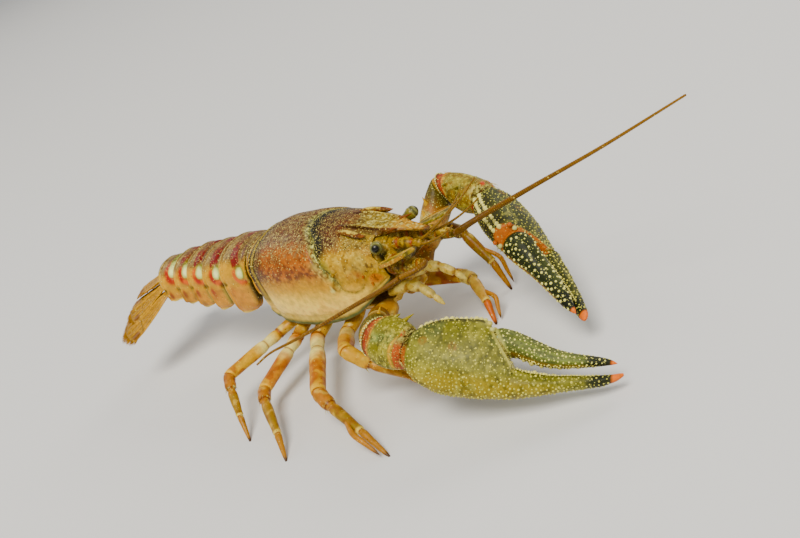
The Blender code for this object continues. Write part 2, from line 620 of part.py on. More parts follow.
def fan_blade(name, root, d, roll, length, widths, rays, thick):
    """A flat blade from root along d, rolled about d. widths is a table of (share, half width)."""
    d = d.normalized()
    across = d.cross(vec(0, 0, 1)).normalized()
    if across.y < 0:
        across = -across
    up = d.cross(across).normalized()
    if up.z < 0:
        up = -up
    c = math.cos(math.radians(roll))
    s = math.sin(math.radians(roll))
    side = across * c + up * s
    lift_way = up * c - across * s
    rings = []
    for share in [0, 0.1, 0.28, 0.5, 0.7, 0.85, 0.95, 1.0]:
        half = smooth(widths, share)
        lift = 0.35 if 0.1 <= share < 0.9 else 0.12
        t = thick * (1 - 0.35 * share)
        line = []
        for k in range(2 * rays + 1):
            v = -1 + k / rays
            edge = 1 - abs(v) ** 3
            line.append((v * half, t * (0.35 + 0.65 * edge) + (lift if k % 2 else 0)))
        line += [(0.62 * half, -t * 0.8), (0, -t), (-0.62 * half, -t * 0.8)]
        p = root + d * (length * share)
        rings.append([p + side * v + lift_way * h for v, h in line])
    points, faces = skin_rings(rings)
    return solid(name, points, faces, (0.72, 0.40, 0.12), 0.4)


TELSON = [(0, 3.9), (0.1, 4.3), (0.5, 4.1), (0.7, 3.9), (0.9, 3.3), (1, 1.9)]
telson_root = FAN + directions[-1] * 0.7 + vec(0, 0, 1.7)
telson_way = heading(13, 17)
telson = fan_blade("tail.telson", telson_root, telson_way, 0, 14.0, TELSON, 4, 0.75)
telson_across = telson_way.cross(vec(0, 0, 1)).normalized()
extra = []
for side in (-1, 1):
    for share, inset in [(0.58, 0.35), (0.61, 1.15)]:
        base = telson_root + telson_way * (14.0 * share) + telson_across * (side * (smooth(TELSON, share) - inset))
        extra.append(spine(base, base + telson_way * 1.9 + telson_across * (side * 0.35) + vec(0, 0, 0.25), 0.32, 5, 0.7))
fuse(telson, extra)
for side in (-1, 1):
    tag = "r" if side < 0 else "l"
    lateral = heading(13, 0).cross(vec(0, 0, 1)).normalized()
    if lateral.y * side < 0:
        lateral = -lateral
    fan_blade("tail.inner." + tag, FAN + directions[-1] * 0.9 + lateral * 3.4 + vec(0, 0, 0.1),
              heading(13 - side * 15, 20), -side * 8, 15.8,
              [(0, 1.1), (0.12, 1.6), (0.5, 3.0), (0.75, 3.3), (0.9, 2.8), (1, 1.5)], 3, 0.45)
    fan_blade("tail.outer." + tag, FAN + directions[-1] * 1.0 + lateral * 4.6 - vec(0, 0, 1.8),
              heading(13 - side * 29, 22), -side * 8, 17.6,
              [(0, 1.1), (0.12, 1.8), (0.5, 3.3), (0.75, 3.7), (0.9, 3.2), (1, 1.8)], 3, 0.45)


# Eyes
# A short stalk and a round dark eye at each side of the rostrum.
for side in (-1, 1):
    tag = "r" if side < 0 else "l"
    root = vec(34.7, side * 4.3, 27.0)
    tip = vec(37.4, side * 7.9, 28.4)
    d = (tip - root).normalized()
    rings = [ring(root, vec(1, 0, 0), vec(0, 0, 1), 1.0, 0.9, 12)]
    for share, r in [(0.36, 1.1), (0.5, 1.35), (0.58, 1.65), (0.72, 1.75), (0.86, 1.45), (0.95, 0.8)]:
        rings.append(ring(root.lerp(tip, share), d, vec(0, 0, 1), r, r, 12))
    points, faces = skin_rings(rings, None, tip)
    solid("eye." + tag, points, faces, (0.05, 0.05, 0.06), 0.12)


# Antennae
# Thick base with a flat scale outside it, and a long feeler. The right feeler is swept back.
FEELER_LEFT = [vec(46.1, 5.6, 22.8), vec(52, 6.8, 25.0), vec(66, 9.0, 29.6), vec(82, 11.4, 34.8), vec(99.2, 14.0, 41.0)]
FEELER_RIGHT_ROOT = [vec(46.9, -6.6, 24.0), vec(48.0, -8.4, 24.4), vec(47.4, -10.6, 24.6), vec(44.6, -11.9, 24.0)]
FEELER_RIGHT = [vec(44.3, -12.0, 23.9), vec(38.5, -12.9, 21.7), vec(31, -13.9, 19.2), vec(19.6, -16.2, 15.4), vec(13.5, -18.6, 13.8), vec(8.6, -21.5, 12.9), vec(7.2, -25.0, 12.4)]


def feeler(name, line, start, end, first=None, final=None, count=6):
    """A round tapering whip through the points of a line, its end faces square to first and final."""
    rings = []
    total = len(line) - 1
    steps = []
    for i in range(total):
        pieces = max(1, int((line[i + 1] - line[i]).length / 6))
        for k in range(pieces):
            steps.append((i, k / pieces))
    steps.append((total - 1, 1.0))
    tables = [[(i, p[c]) for i, p in enumerate(line)] for c in range(3)]
    path = [vec(smooth(tables[0], i + s), smooth(tables[1], i + s), smooth(tables[2], i + s)) for i, s in steps]
    for i, p in enumerate(path):
        before = path[max(i - 1, 0)]
        after = path[min(i + 1, len(path) - 1)]
        radius = start + (end - start) * i / (len(path) - 1)
        n = after - before
        if i == 0 and first is not None:
            n = first
        if i == len(path) - 1 and final is not None:
            n = final
        rings.append(ring(p, n, vec(0, 0, 1), radius, radius, count))
    points, faces = skin_rings(rings)
    return solid(name, points, faces, (0.45, 0.25, 0.10), 0.4)


for side in (-1, 1):
    tag = "r" if side < 0 else "l"
    end = FEELER_RIGHT_ROOT[0] if side < 0 else FEELER_LEFT[0]
    line = [vec(34.6, side * 3.7, 24.0), vec(36.2, side * 4.3, 23.9), vec(38.6, side * 5.9, 23.3), vec(41.4, side * 6.2, 23.0), end - vec(0.35, 0, 0)]
    rings = []
    for leg, share, a, b in [(0, 0, 1.25, 1.3), (0, 1, 1.4, 1.5), (1, 0.4, 2.3, 2.1), (1, 0.95, 2.1, 1.9), (2, 0.1, 1.6, 1.6), (2, 0.8, 1.6, 1.5), (3, 0.05, 1.3, 1.2), (3, 0.7, 1.25, 1.2), (3, 1.0, 1.0, 1.0)]:
        p = line[leg].lerp(line[leg + 1], share)
        rings.append(ring(p, vec(1, 0, 0), vec(0, 1, 0), a, b, 10))
    points, faces = skin_rings(rings)
    base = solid("antenna.base." + tag, points, faces, (0.55, 0.38, 0.15), 0.45)
    scale_rings = []
    for x, half, y in [(36.2, 0.8, 7.2), (38.2, 1.5, 7.8), (41.5, 1.8, 7.9), (44.5, 1.5, 7.6), (46.2, 0.7, 7.4)]:
        z = 24.0 + (x - 36.2) * 0.14
        scale_rings.append([vec(x, side * (y - half), z + 0.2), vec(x, side * y, z + 0.55), vec(x, side * (y + half), z + 0.3), vec(x, side * (y + half), z - 0.3), vec(x, side * y, z - 0.4), vec(x, side * (y - half), z - 0.3)])
    points, faces = skin_rings(scale_rings, None, vec(47.4, side * 8.1, 25.6))
    fuse(base, [solid("scale", points, faces)])
cut = FEELER_RIGHT[0] - FEELER_RIGHT_ROOT[-1]
feeler("antenna.feeler.l", FEELER_LEFT, 0.85, 0.28, vec(1, 0, 0))
feeler("antenna.bend.r", FEELER_RIGHT_ROOT, 0.85, 0.64, vec(1, 0, 0), cut, 8)
feeler("antenna.feeler.r", FEELER_RIGHT, 0.62, 0.28, cut)


# Antennules
# The short inner pair: a jointed base below the rostrum and two fine whips.
for side in (-1, 1):
    tag = "r" if side < 0 else "l"
    rings = []
    for x, r in [(34.75, 1.15), (38.0, 1.2), (38.4, 0.95), (41.6, 0.95), (42.0, 0.8), (44.2, 0.75)]:
        rings.append(ring(vec(x, side * 1.95, 26.2 - (x - 34.75) * 0.06), vec(1, 0, 0), vec(0, 1, 0), r, r, 8))
    points, faces = skin_rings(rings)
    base = solid("antennule." + tag, points, faces, (0.50, 0.34, 0.16), 0.45)
    whips = []
    for k, (start, end) in enumerate([(vec(43.2, side * 1.6, 25.9), vec(59.0, side * 2.8, 36.0)), (vec(43.2, side * 2.3, 25.5), vec(56.0, side * 5.0, 30.5))]):
        rings = []
        for share, r in [(0, 0.34), (0.4, 0.3), (0.8, 0.24), (1.0, 0.18)]:
            sag = vec(0, 0, -1.6) * (share * (1 - share) * 2)
            rings.append(ring(start.lerp(end, share) + sag, end - start, vec(0, 1, 0), r, r, 6))
        points, faces = skin_rings(rings)
        whips.append(solid("whip", points, faces))
    fuse(base, whips)


# Mouth limbs
# The third pair of maxillipeds, folded under the mouth, with their free end segments forward.
for side in (-1, 1):
    tag = "r" if side < 0 else "l"
    line = [vec(31.6, side * 3.0, 15.4), vec(37.0, side * 3.4, 16.8), vec(40.2, side * 3.8, 16.4), vec(43.0, side * 4.2, 14.4), vec(45.0, side * 4.4, 12.4)]
    rings = []
    for leg, share, a, b in [(0, 0, 1.7, 1.0), (0, 0.5, 1.8, 1.1), (0, 0.95, 1.4, 1.1), (1, 0.15, 1.15, 1.0), (1, 0.6, 1.25, 1.1), (1, 0.95, 1.0, 0.95), (2, 0.15, 0.9, 0.85), (2, 0.6, 1.0, 0.9), (2, 0.95, 0.75, 0.75), (3, 0.1, 0.62, 0.6), (3, 0.7, 0.45, 0.45)]:
        p = line[leg].lerp(line[leg + 1], share)
        d = line[leg + 1] - line[leg]
        rings.append(ring(p, d, vec(0, 1, 0), a, b, 8))
    points, faces = skin_rings(rings, None, line[-1])
    solid("maxilliped." + tag, points, faces, (0.80, 0.68, 0.42), 0.45)


# Stand the model in the middle of its own footprint, lowest point on the floor.
low = Vector((1e9, 1e9, 1e9))
high = Vector((-1e9, -1e9, -1e9))
for thing in parts.objects:
    for v in thing.data.vertices:
        for c in range(3):
            low[c] = min(low[c], v.co[c])
            high[c] = max(high[c], v.co[c])
shift = Vector(((low.x + high.x) / 2, (low.y + high.y) / 2, low.z))
for thing in parts.objects:
    for v in thing.data.vertices:
        v.co -= shift
bpy.data.collections.remove(joining)
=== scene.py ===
import math

import bpy
import numpy as np
from mathutils import Matrix, Vector


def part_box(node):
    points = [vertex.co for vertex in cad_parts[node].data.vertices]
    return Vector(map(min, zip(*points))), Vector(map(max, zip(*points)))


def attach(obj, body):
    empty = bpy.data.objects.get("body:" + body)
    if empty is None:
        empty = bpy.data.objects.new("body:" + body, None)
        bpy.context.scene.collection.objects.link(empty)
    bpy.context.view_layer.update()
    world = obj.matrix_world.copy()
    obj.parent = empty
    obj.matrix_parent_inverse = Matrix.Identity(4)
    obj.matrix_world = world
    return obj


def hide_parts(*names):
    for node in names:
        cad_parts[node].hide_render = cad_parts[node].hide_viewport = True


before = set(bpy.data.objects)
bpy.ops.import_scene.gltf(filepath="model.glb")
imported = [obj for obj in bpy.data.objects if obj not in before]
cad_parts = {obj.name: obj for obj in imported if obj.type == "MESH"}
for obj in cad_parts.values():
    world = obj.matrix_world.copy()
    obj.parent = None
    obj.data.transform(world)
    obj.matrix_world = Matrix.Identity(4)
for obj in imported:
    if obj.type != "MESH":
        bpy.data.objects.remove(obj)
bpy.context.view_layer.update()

# Floor, light and camera
# A pale studio table, one large soft window light from above, and the camera of the photograph:
# in front of the right shoulder, looking down and rolled to the right.
MM = 0.001
hood_low, hood_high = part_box("carapace")
ROSTRUM_TIP = 46.0
STUDIO_DEPTH = 1.35
STUDIO_CAST = (1.0, 1.08, 0.68)
STUDIO_RICHNESS = 1.2
ORIGIN = np.array([hood_high[0] - ROSTRUM_TIP * MM, (hood_low[1] + hood_high[1]) / 2, 0.0])


def place(points):
    """Points in the maker's millimetres, set into the frame in metres."""
    return np.asarray(points, float) * MM + ORIGIN


def hue(code):
    """A colour written as six hex digits, as the shader wants it, deepened for the bright studio."""
    part = np.array([int(code[i:i + 2], 16) / 255 for i in (0, 2, 4)])
    linear = np.where(part <= 0.04045, part / 12.92, ((part + 0.055) / 1.055) ** 2.4)
    cast = linear ** STUDIO_DEPTH * STUDIO_CAST
    return np.clip(cast.mean() + (cast - cast.mean()) * STUDIO_RICHNESS, 0, 1)


table = bpy.data.materials.new("pale table")
table.use_nodes = True
table.node_tree.nodes["Principled BSDF"].inputs["Base Color"].default_value = (0.74, 0.76, 0.79, 1)
table.node_tree.nodes["Principled BSDF"].inputs["Roughness"].default_value = 0.75
FLOOR_REACH = 3
corners = [(x * FLOOR_REACH, y * FLOOR_REACH, 0) for x, y in ((-1, -1), (1, -1), (1, 1), (-1, 1))]
floor_mesh = bpy.data.meshes.new("floor")
floor_mesh.from_pydata(corners, [], [(0, 1, 2, 3)])
floor_mesh.materials.append(table)
floor = bpy.data.objects.new("floor", floor_mesh)
bpy.context.scene.collection.objects.link(floor)

sky = bpy.data.worlds.new("studio")
bpy.context.scene.world = sky
sky.use_nodes = True
sky.node_tree.nodes["Background"].inputs["Color"].default_value = (1.0, 0.98, 0.94, 1)
sky.node_tree.nodes["Background"].inputs["Strength"].default_value = 0.42
for name, spot, aim, size, watts in [
    ("window", (500, -900, 1500), (20, 0, 15), 0.75, 42),
    ("left", (200, 1500, 1000), (20, 0, 15), 0.80, 10),
    ("tail", (-1500, 200, 1000), (0, 0, 15), 0.60, 4),
]:
    lamp = bpy.data.lights.new(name, "AREA")
    lamp.size = size
    lamp.energy = watts
    lamp.color = (1.0, 0.93, 0.80)
    holder = bpy.data.objects.new(name, lamp)
    bpy.context.scene.collection.objects.link(holder)
    holder.location = place(spot)
    holder.rotation_euler = Vector(place(aim) - place(spot)).to_track_quat("-Z", "Y").to_euler()

CAMERA_SPOT = (185.97, -145.72, 109.58)
CAMERA_AIM = (43.0, -9.5, 24.5)
CAMERA_ROLL = -25.77
lens = bpy.data.cameras.new("camera")
lens.lens = 50
lens.clip_start = 0.005
camera = bpy.data.objects.new("camera", lens)
bpy.context.scene.collection.objects.link(camera)
gaze = Vector(place(CAMERA_AIM) - place(CAMERA_SPOT)).to_track_quat("-Z", "Y").to_matrix().to_4x4()
turn = Matrix.Rotation(math.radians(CAMERA_ROLL), 4, "Z")
camera.matrix_world = Matrix.Translation(place(CAMERA_SPOT)) @ gaze @ turn
bpy.context.scene.camera = camera


# Carapace
# The shield over head and chest, of hard speckled shell: a neck groove across it, a pointed
# rostrum with raised margins, a ridge behind each eye, and small spines on the cheeks.
def spline(keys, values, x):
    """Values on a smooth curve through the rows of values at keys."""
    keys = np.asarray(keys, float)
    values = np.asarray(values, float)
    x = np.clip(np.asarray(x, float), keys[0], keys[-1])
    tail = (1,) * (values.ndim - 1)
    gaps = np.diff(keys).reshape(-1, *tail)
    rise = np.diff(values, axis=0) / gaps
    slope = np.concatenate(
        [rise[:1], (rise[:-1] * gaps[1:] + rise[1:] * gaps[:-1]) / (gaps[1:] + gaps[:-1]), rise[-1:]]
    )
    i = np.clip(np.searchsorted(keys, x, side="right") - 1, 0, len(keys) - 2)
    h = gaps[i].reshape(x.shape + tail) if tail else gaps[i]
    t = (x - keys[i]).reshape(x.shape + tail) / h
    near = (2 * t ** 3 - 3 * t ** 2 + 1) * values[i] + (t ** 3 - 2 * t ** 2 + t) * h * slope[i]
    return near + (3 * t ** 2 - 2 * t ** 3) * values[i + 1] + (t ** 3 - t ** 2) * h * slope[i + 1]


def table_of(rows, x):
    """Value at x of a table of (x, value) rows, on a curve."""
    return spline([r[0] for r in rows], [r[1] for r in rows], x)


def step(x, start, end):
    """0 before start, 1 after end, eased between."""
    t = np.clip((np.asarray(x, float) - start) / (end - start), 0, 1)
    return t * t * (3 - 2 * t)


def wander(points, size, seed=0):
    """Soft noise from -1 to 1 with lumps of about size millimetres."""
    q = np.asarray(points, float) / size + 31.7 + seed * 13.1
    cell = np.floor(q).astype(np.int64)
    f = q - cell
    f = f * f * (3 - 2 * f)
    total = 0
    for dx in (0, 1):
        for dy in (0, 1):
            for dz in (0, 1):
                n = (
                    (cell[..., 0] + dx) * 73856093 ^ (cell[..., 1] + dy) * 19349663
                    ^ (cell[..., 2] + dz) * 83492791
                )
                n = (n ^ (n >> 13)) * 1274126177 & 0xFFFFFF
                share = np.where(dx, f[..., 0], 1 - f[..., 0]) * np.where(dy, f[..., 1], 1 - f[..., 1])
                total = total + share * np.where(dz, f[..., 2], 1 - f[..., 2]) * (n / 0xFFFFFF * 2 - 1)
    return total


def fade(value, low, high):
    """What a step leaves: one up to low, nothing from high on."""
    return 1 - step(value, low, high)


def bell(away, wide):
    """One where away is nothing, falling off softly on both sides over wide."""
    return np.exp(-(away / wide) ** 2)


def along(grid):
    """Share of the way from the first ring of a grid to its last."""
    return np.linspace(0, 1, len(grid))[:, None] + 0 * grid[..., 0]


def plain(grid, colour):
    """The whole grid in one colour."""
    return np.broadcast_to(hue(colour), grid.shape).copy()


def coats(tint, rows):
    """Several colours laid over a tint, one after the other. A row is (colour, cover)."""
    for colour, cover in rows:
        tint = over(tint, colour, cover)
    return tint


def over(tint, colour, cover):
    """Paint a colour over a tint where cover is 1."""
    if isinstance(colour, str):
        colour = hue(colour)
    cover = np.clip(cover, 0, 1)[..., None]
    return tint * (1 - cover) + colour * cover


def outward(grid):
    """Outward directions of a grid of closed rings."""
    along_rows = np.gradient(grid, axis=0)
    around = np.roll(grid, -1, axis=1) - np.roll(grid, 1, axis=1)
    n = np.cross(around, along_rows)
    n /= np.linalg.norm(n, axis=2, keepdims=True) + 1e-12
    away = grid - grid.mean(axis=1, keepdims=True)
    return n if (n * away).sum() > 0 else -n


def skin(rings, rows, cols):
    """A fine grid over a few closed rings of equal count, smooth along and around."""
    rings = np.array(rings, float)
    gaps = np.linalg.norm(np.diff(rings, axis=0), axis=2).mean(axis=1)
    keys = np.concatenate([[0], np.cumsum(gaps)])
    count = rings.shape[1]
    ring_keys = np.arange(-3, count + 4)
    wrapped = rings[:, ring_keys % count]
    across = spline(ring_keys, np.swapaxes(wrapped, 0, 1), np.arange(cols) * count / cols)
    return spline(keys, np.swapaxes(across, 0, 1), np.linspace(0, keys[-1], rows))


def shell_mesh(name, points, faces, material, tint=None, marks=None, sharp=38):
    """A mesh object from millimetre points, with a painted tint and marks for its material."""
    mesh = bpy.data.meshes.new(name)
    mesh.from_pydata(place(points), [], faces)
    if tint is not None:
        layer = mesh.color_attributes.new("tint", "FLOAT_COLOR", "POINT")
        full = np.ones((len(points), 4))
        full[:, :3] = np.clip(tint, 0, 1)
        layer.data.foreach_set("color", full.ravel())
    for key, values in (marks or {}).items():
        mark = mesh.attributes.new(key, "FLOAT", "POINT")
        mark.data.foreach_set("value", np.asarray(values, float).ravel())
    mesh.materials.append(material)
    mesh.shade_smooth()
    mesh.set_sharp_from_angle(angle=math.radians(sharp))
    thing = bpy.data.objects.new(name, mesh)
    bpy.context.scene.collection.objects.link(thing)
    return thing


def grid_faces(rows, cols, first=0):
    """Quads of a grid of closed rings."""
    i = np.arange(rows - 1)[:, None] * cols
    j = np.arange(cols)[None, :]
    k = (j + 1) % cols
    quads = np.stack([i + j, i + k, i + cols + k, i + cols + j], axis=-1)
    return (quads.reshape(-1, 4) + first).tolist()


def closed_body(name, grid, material, tint=None, marks=None, sharp=38):
    """A closed mesh from a grid of rings, with flat caps."""
    rows, cols = grid.shape[:2]
    points = grid.reshape(-1, 3)
    faces = grid_faces(rows, cols)
    faces.append(list(range(cols))[::-1])
    faces.append([(rows - 1) * cols + j for j in range(cols)])
    flat = None if tint is None else np.broadcast_to(tint, grid.shape).reshape(-1, 3)
    flat_marks = {k: np.broadcast_to(v, grid.shape[:2]).reshape(-1) for k, v in (marks or {}).items()}
    return shell_mesh(name, points, faces, material, flat, flat_marks, sharp)


def chitin(
    name, rough=0.42, coat=0.06, grain=0.35, pale="e2d2a8", dark="241d18", bump=0.25, pit=0.6, clear=0.0
):
    """Shell that shows the painted tint, with pale and dark specks where the marks ask for them."""
    m = bpy.data.materials.new(name)
    m.use_nodes = True
    nodes = m.node_tree.nodes
    links = m.node_tree.links
    shader = nodes["Principled BSDF"]
    shader.inputs["Coat Weight"].default_value = coat
    shader.inputs["Coat Roughness"].default_value = 0.25
    shader.inputs["Specular IOR Level"].default_value = 0.22
    if clear:
        shader.inputs["Subsurface Weight"].default_value = clear
        shader.inputs["Subsurface Radius"].default_value = (1.0, 0.55, 0.3)
        shader.inputs["Subsurface Scale"].default_value = 0.001
    where = nodes.new("ShaderNodeTexCoord").outputs["Object"]

    def shifted(seed, by):
        """The places on the piece, moved so that no two textures lie on each other."""
        move = nodes.new("ShaderNodeMapping")
        move.inputs["Location"].default_value = tuple(seed * b for b in by)
        links.new(where, move.inputs["Vector"])
        return move.outputs["Vector"]

    def noise(size, detail, seed):
        """A noise texture with lumps of size millimetres."""
        n = nodes.new("ShaderNodeTexNoise")
        links.new(shifted(seed, (0.37, 0.11, 0.23)), n.inputs["Vector"])
        n.inputs["Scale"].default_value = 1000 / size
        n.inputs["Detail"].default_value = detail
        return n.outputs["Fac"]

    def ramp(value, low, high, first=0.0, last=1.0):
        """Value stretched so that low becomes first and high becomes last."""
        r = nodes.new("ShaderNodeMapRange")
        r.inputs["From Min"].default_value = low
        r.inputs["From Max"].default_value = high
        r.inputs["To Min"].default_value = first
        r.inputs["To Max"].default_value = last
        links.new(value, r.inputs["Value"])
        return r.outputs["Result"]

    def mark(key):
        """A mark painted on the mesh."""
        a = nodes.new("ShaderNodeAttribute")
        a.attribute_name = key
        return a

    def mix(colour, other, cover):
        """Another colour laid over a colour where cover is 1."""
        x = nodes.new("ShaderNodeMix")
        x.data_type = "RGBA"
        links.new(cover, x.inputs[0])
        links.new(colour, x.inputs[6])
        x.inputs[7].default_value = (*hue(other), 1)
        return x.outputs[2]

    def times(a, b):
        """Two values multiplied."""
        x = nodes.new("ShaderNodeMath")
        x.operation = "MULTIPLY"
        links.new(a, x.inputs[0])
        links.new(b, x.inputs[1])
        return x.outputs[0]

    def dots(size, key, share, seed):
        """Round specks in cells of size millimetres, present more often where the mark is high."""
        cells = nodes.new("ShaderNodeTexVoronoi")
        links.new(shifted(seed, (0.31, 0.17, 0.29)), cells.inputs["Vector"])
        cells.inputs["Scale"].default_value = 1000 / size
        chance = nodes.new("ShaderNodeSeparateColor")
        links.new(cells.outputs["Color"], chance.inputs["Color"])
        there = nodes.new("ShaderNodeMath")
        there.operation = "GREATER_THAN"
        links.new(ramp(mark(key).outputs["Fac"], 0.0, 1.0, 0.0, share), there.inputs[0])
        links.new(chance.outputs[0], there.inputs[1])
        return times(there.outputs[0], ramp(cells.outputs["Distance"], 0.34, 0.2, 0.0, 0.85))

    colour = mark("tint").outputs["Color"]
    shade = nodes.new("ShaderNodeHueSaturation")
    links.new(colour, shade.inputs["Color"])
    links.new(ramp(noise(1.1, 3, 2), 0.25, 0.75, 1 - grain, 1 + grain), shade.inputs["Value"])
    colour = shade.outputs["Color"]
    colour = mix(colour, dark, times(mark("dark").outputs["Fac"], ramp(noise(0.42, 2, 5), 0.50, 0.60)))
    colour = mix(colour, dark, dots(0.4, "dark", 0.5, 3))
    colour = mix(colour, pale, dots(0.3, "pale", 0.8, 1))
    colour = mix(colour, pale, dots(0.55, "pale", 0.3, 7))
    links.new(colour, shader.inputs["Base Color"])
    links.new(ramp(noise(0.7, 3, 4), 0.3, 0.7, rough - 0.08, rough + 0.1), shader.inputs["Roughness"])
    pits = nodes.new("ShaderNodeTexVoronoi")
    pits.inputs["Scale"].default_value = 1000 / pit
    links.new(where, pits.inputs["Vector"])
    lumps = nodes.new("ShaderNodeMath")
    lumps.operation = "ADD"
    links.new(ramp(pits.outputs["Distance"], 0.0, 0.45), lumps.inputs[0])
    links.new(noise(0.25, 3, 7), lumps.inputs[1])
    relief = nodes.new("ShaderNodeBump")
    relief.inputs["Strength"].default_value = bump
    relief.inputs["Distance"].default_value = 0.00012
    links.new(lumps.outputs[0], relief.inputs["Height"])
    links.new(relief.outputs["Normal"], shader.inputs["Normal"])
    return m


def wear(piece, slot_name, *nodes):
    """A finished piece rides on the body and stands for CAD nodes. The slot name is not used."""
    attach(piece, "root")
    if nodes:
        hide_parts(*nodes)


SHELL_TOP = [(0, 30.6), (4, 31.9), (10, 32.6), (15, 32.6), (20, 32.2), (26, 31.5), (31, 30.4), (36, 29.2)]
SHELL_HALF = [(0, 9.3), (4, 10.2), (10, 10.7), (17, 10.6), (23, 10.0), (28, 9.1), (32, 8.2), (36, 6.9)]
SHELL_LOW = [
    (-1.2, 14.8), (0, 13.4), (2, 12.3), (5, 11.9), (9, 11.7), (13, 11.6),
    (18, 12.0), (23, 13.0), (28, 15.1), (32, 17.7), (36, 20.3),
]
SHELL_SIDE = 25.0
SHELL_ROUNDNESS = 2.05
BELLY = 13.7
LEAN = [(0, -1.2), (4, 0.6), (10, 5.0), (15.5, 10.0), (36, 0)]
LEAN_SHARE = [
    (0, 0), (20, 0.06), (38, 0.23), (62, 0.42), (85, 0.52), (98, 0.61), (110, 0.71), (120, 0.86),
    (130, 1.0),
]
ORBIT_NOTCH = [(0, 1.6), (30, 1.6), (60, 1.6), (74, 1.3), (88, 0.6), (102, 0), (130, 0)]
GROOVE = 15.5
GROOVE_DEPTH = 0.75


def shell_side(s, angle):
    """One side of the shield: s counts back to front, angle runs from the back to the lower rim."""
    s, angle = np.broadcast_arrays(np.asarray(s, float), np.asarray(angle, float))
    x = s + np.interp(s, [r[0] for r in LEAN], [r[1] for r in LEAN]) * table_of(LEAN_SHARE, angle)
    notch = np.interp(angle, [r[0] for r in ORBIT_NOTCH], [r[1] for r in ORBIT_NOTCH])
    x = x - notch * np.maximum(0, s - 31) / 5
    top = table_of(SHELL_TOP, x)
    half = table_of(SHELL_HALF, x)
    low = table_of(SHELL_LOW, x)
    sine = np.abs(np.sin(np.radians(angle)))
    cosine = np.abs(np.cos(np.radians(angle)))
    share = np.maximum(angle - 90, 0) / 40
    y = np.where(angle <= 90, half * sine ** (2 / SHELL_ROUNDNESS), half * (1 - 0.13 * share ** 2))
    upper = SHELL_SIDE + (top - SHELL_SIDE) * cosine ** (2 / SHELL_ROUNDNESS)
    z = np.where(angle <= 90, upper, SHELL_SIDE + (low - SHELL_SIDE) * share)
    return np.stack([x, y, z], axis=-1)


s_line = np.concatenate([np.linspace(0, 13.5, 62), np.linspace(13.6, 17.6, 42), np.linspace(17.8, 36, 84)])
a_line = np.concatenate([np.linspace(0, 118, 66), np.linspace(119, 130, 12)])
S, A = np.meshgrid(s_line, a_line, indexing="ij")
side_grid = shell_side(S, A)
inward = np.stack([np.zeros_like(S), side_grid[..., 1], (side_grid[..., 2] - 22) * 1.2], axis=-1)
inward /= np.linalg.norm(inward, axis=2, keepdims=True) + 1e-9
GROOVE_SHIFT = [(0, 0.2), (20, 0.6), (38, 1.4), (62, 1.3), (85, 2.2), (104, 3.1), (130, 3.4)]
side_of_groove = S - GROOVE - table_of(GROOVE_SHIFT, A) + 0.3 * wander(side_grid, 2.2, 3)
groove = bell(side_of_groove, 0.72) * fade(A, 101, 108)
hook_route = [(23.7, 21.2), (25.2, 19.5), (27.0, 18.7), (28.8, 19.0), (30.2, 20.2)]
hook_away = np.full(S.shape, 9.0)
for (x0, z0), (x1, z1) in zip(hook_route, hook_route[1:]):
    d = np.array([x1 - x0, z1 - z0])
    rel = np.stack([side_grid[..., 0] - x0, side_grid[..., 2] - z0], axis=-1)
    t = np.clip((rel @ d) / (d @ d), 0, 1)
    hook_away = np.minimum(hook_away, np.linalg.norm(rel - t[..., None] * d, axis=2))
hook = bell(hook_away, 0.45)
areola = bell(side_grid[..., 1] - 0.9 - 0.03 * (S - 8) ** 2, 0.22) * step(S, 1.8, 3) * fade(S, 12, 14.5)
rear_rim = 0.22 * fade(S, 0.7, 1.1) - 0.16 * bell(S - 1.35, 0.3)
low_rim = 0.2 * step(A, 125.5, 127.5) - 0.16 * bell(A - 124, 1.6)
swollen = step(-side_of_groove, 0.2, 1.6) * fade(-side_of_groove, 2.5, 7.0) * step(A, 10, 40)
raise_by = 0.22 * swollen - GROOVE_DEPTH * groove - 0.25 * hook - 0.28 * areola + rear_rim + low_rim
raise_by = raise_by + 0.05 * wander(side_grid, 1.6, 5) + 0.02 * wander(side_grid, 0.6, 8)
side_grid = side_grid + inward * raise_by[..., None]
fold = []
for across, drop in [(1.1, 0.1), (2.0, None), (3.5, None)]:
    edge = side_grid[:, -1].copy()
    edge[:, 1] -= across
    edge[:, 2] = edge[:, 2] + 0.1 if drop else np.maximum(BELLY, edge[:, 2] + 1.2)
    fold.append(edge)
middle = fold[-1].copy()
middle[:, 1] = 0
left = np.concatenate([side_grid, np.stack(fold + [middle], axis=1)], axis=1)
right = left[:, -2:0:-1] * np.array([1, -1, 1])
shield = np.concatenate([left, right], axis=1)


def mirrored(values, filler):
    """A value of one side of the shield, carried over the fold and to the other side."""
    values = np.asarray(values, float)
    pad = np.full(values.shape[:1] + (4,) + values.shape[2:], 1.0) * filler
    one = np.concatenate([values, pad], axis=1)
    return np.concatenate([one, one[:, -2:0:-1]], axis=1)


def blot(p, middle, size):
    """1 near a spot, fading out at size, in x and z."""
    d = ((p[..., 0] - middle[0]) / size[0]) ** 2 + ((p[..., 2] - middle[1]) / size[1]) ** 2
    return 1 - step(d, 0.35, 1.25)


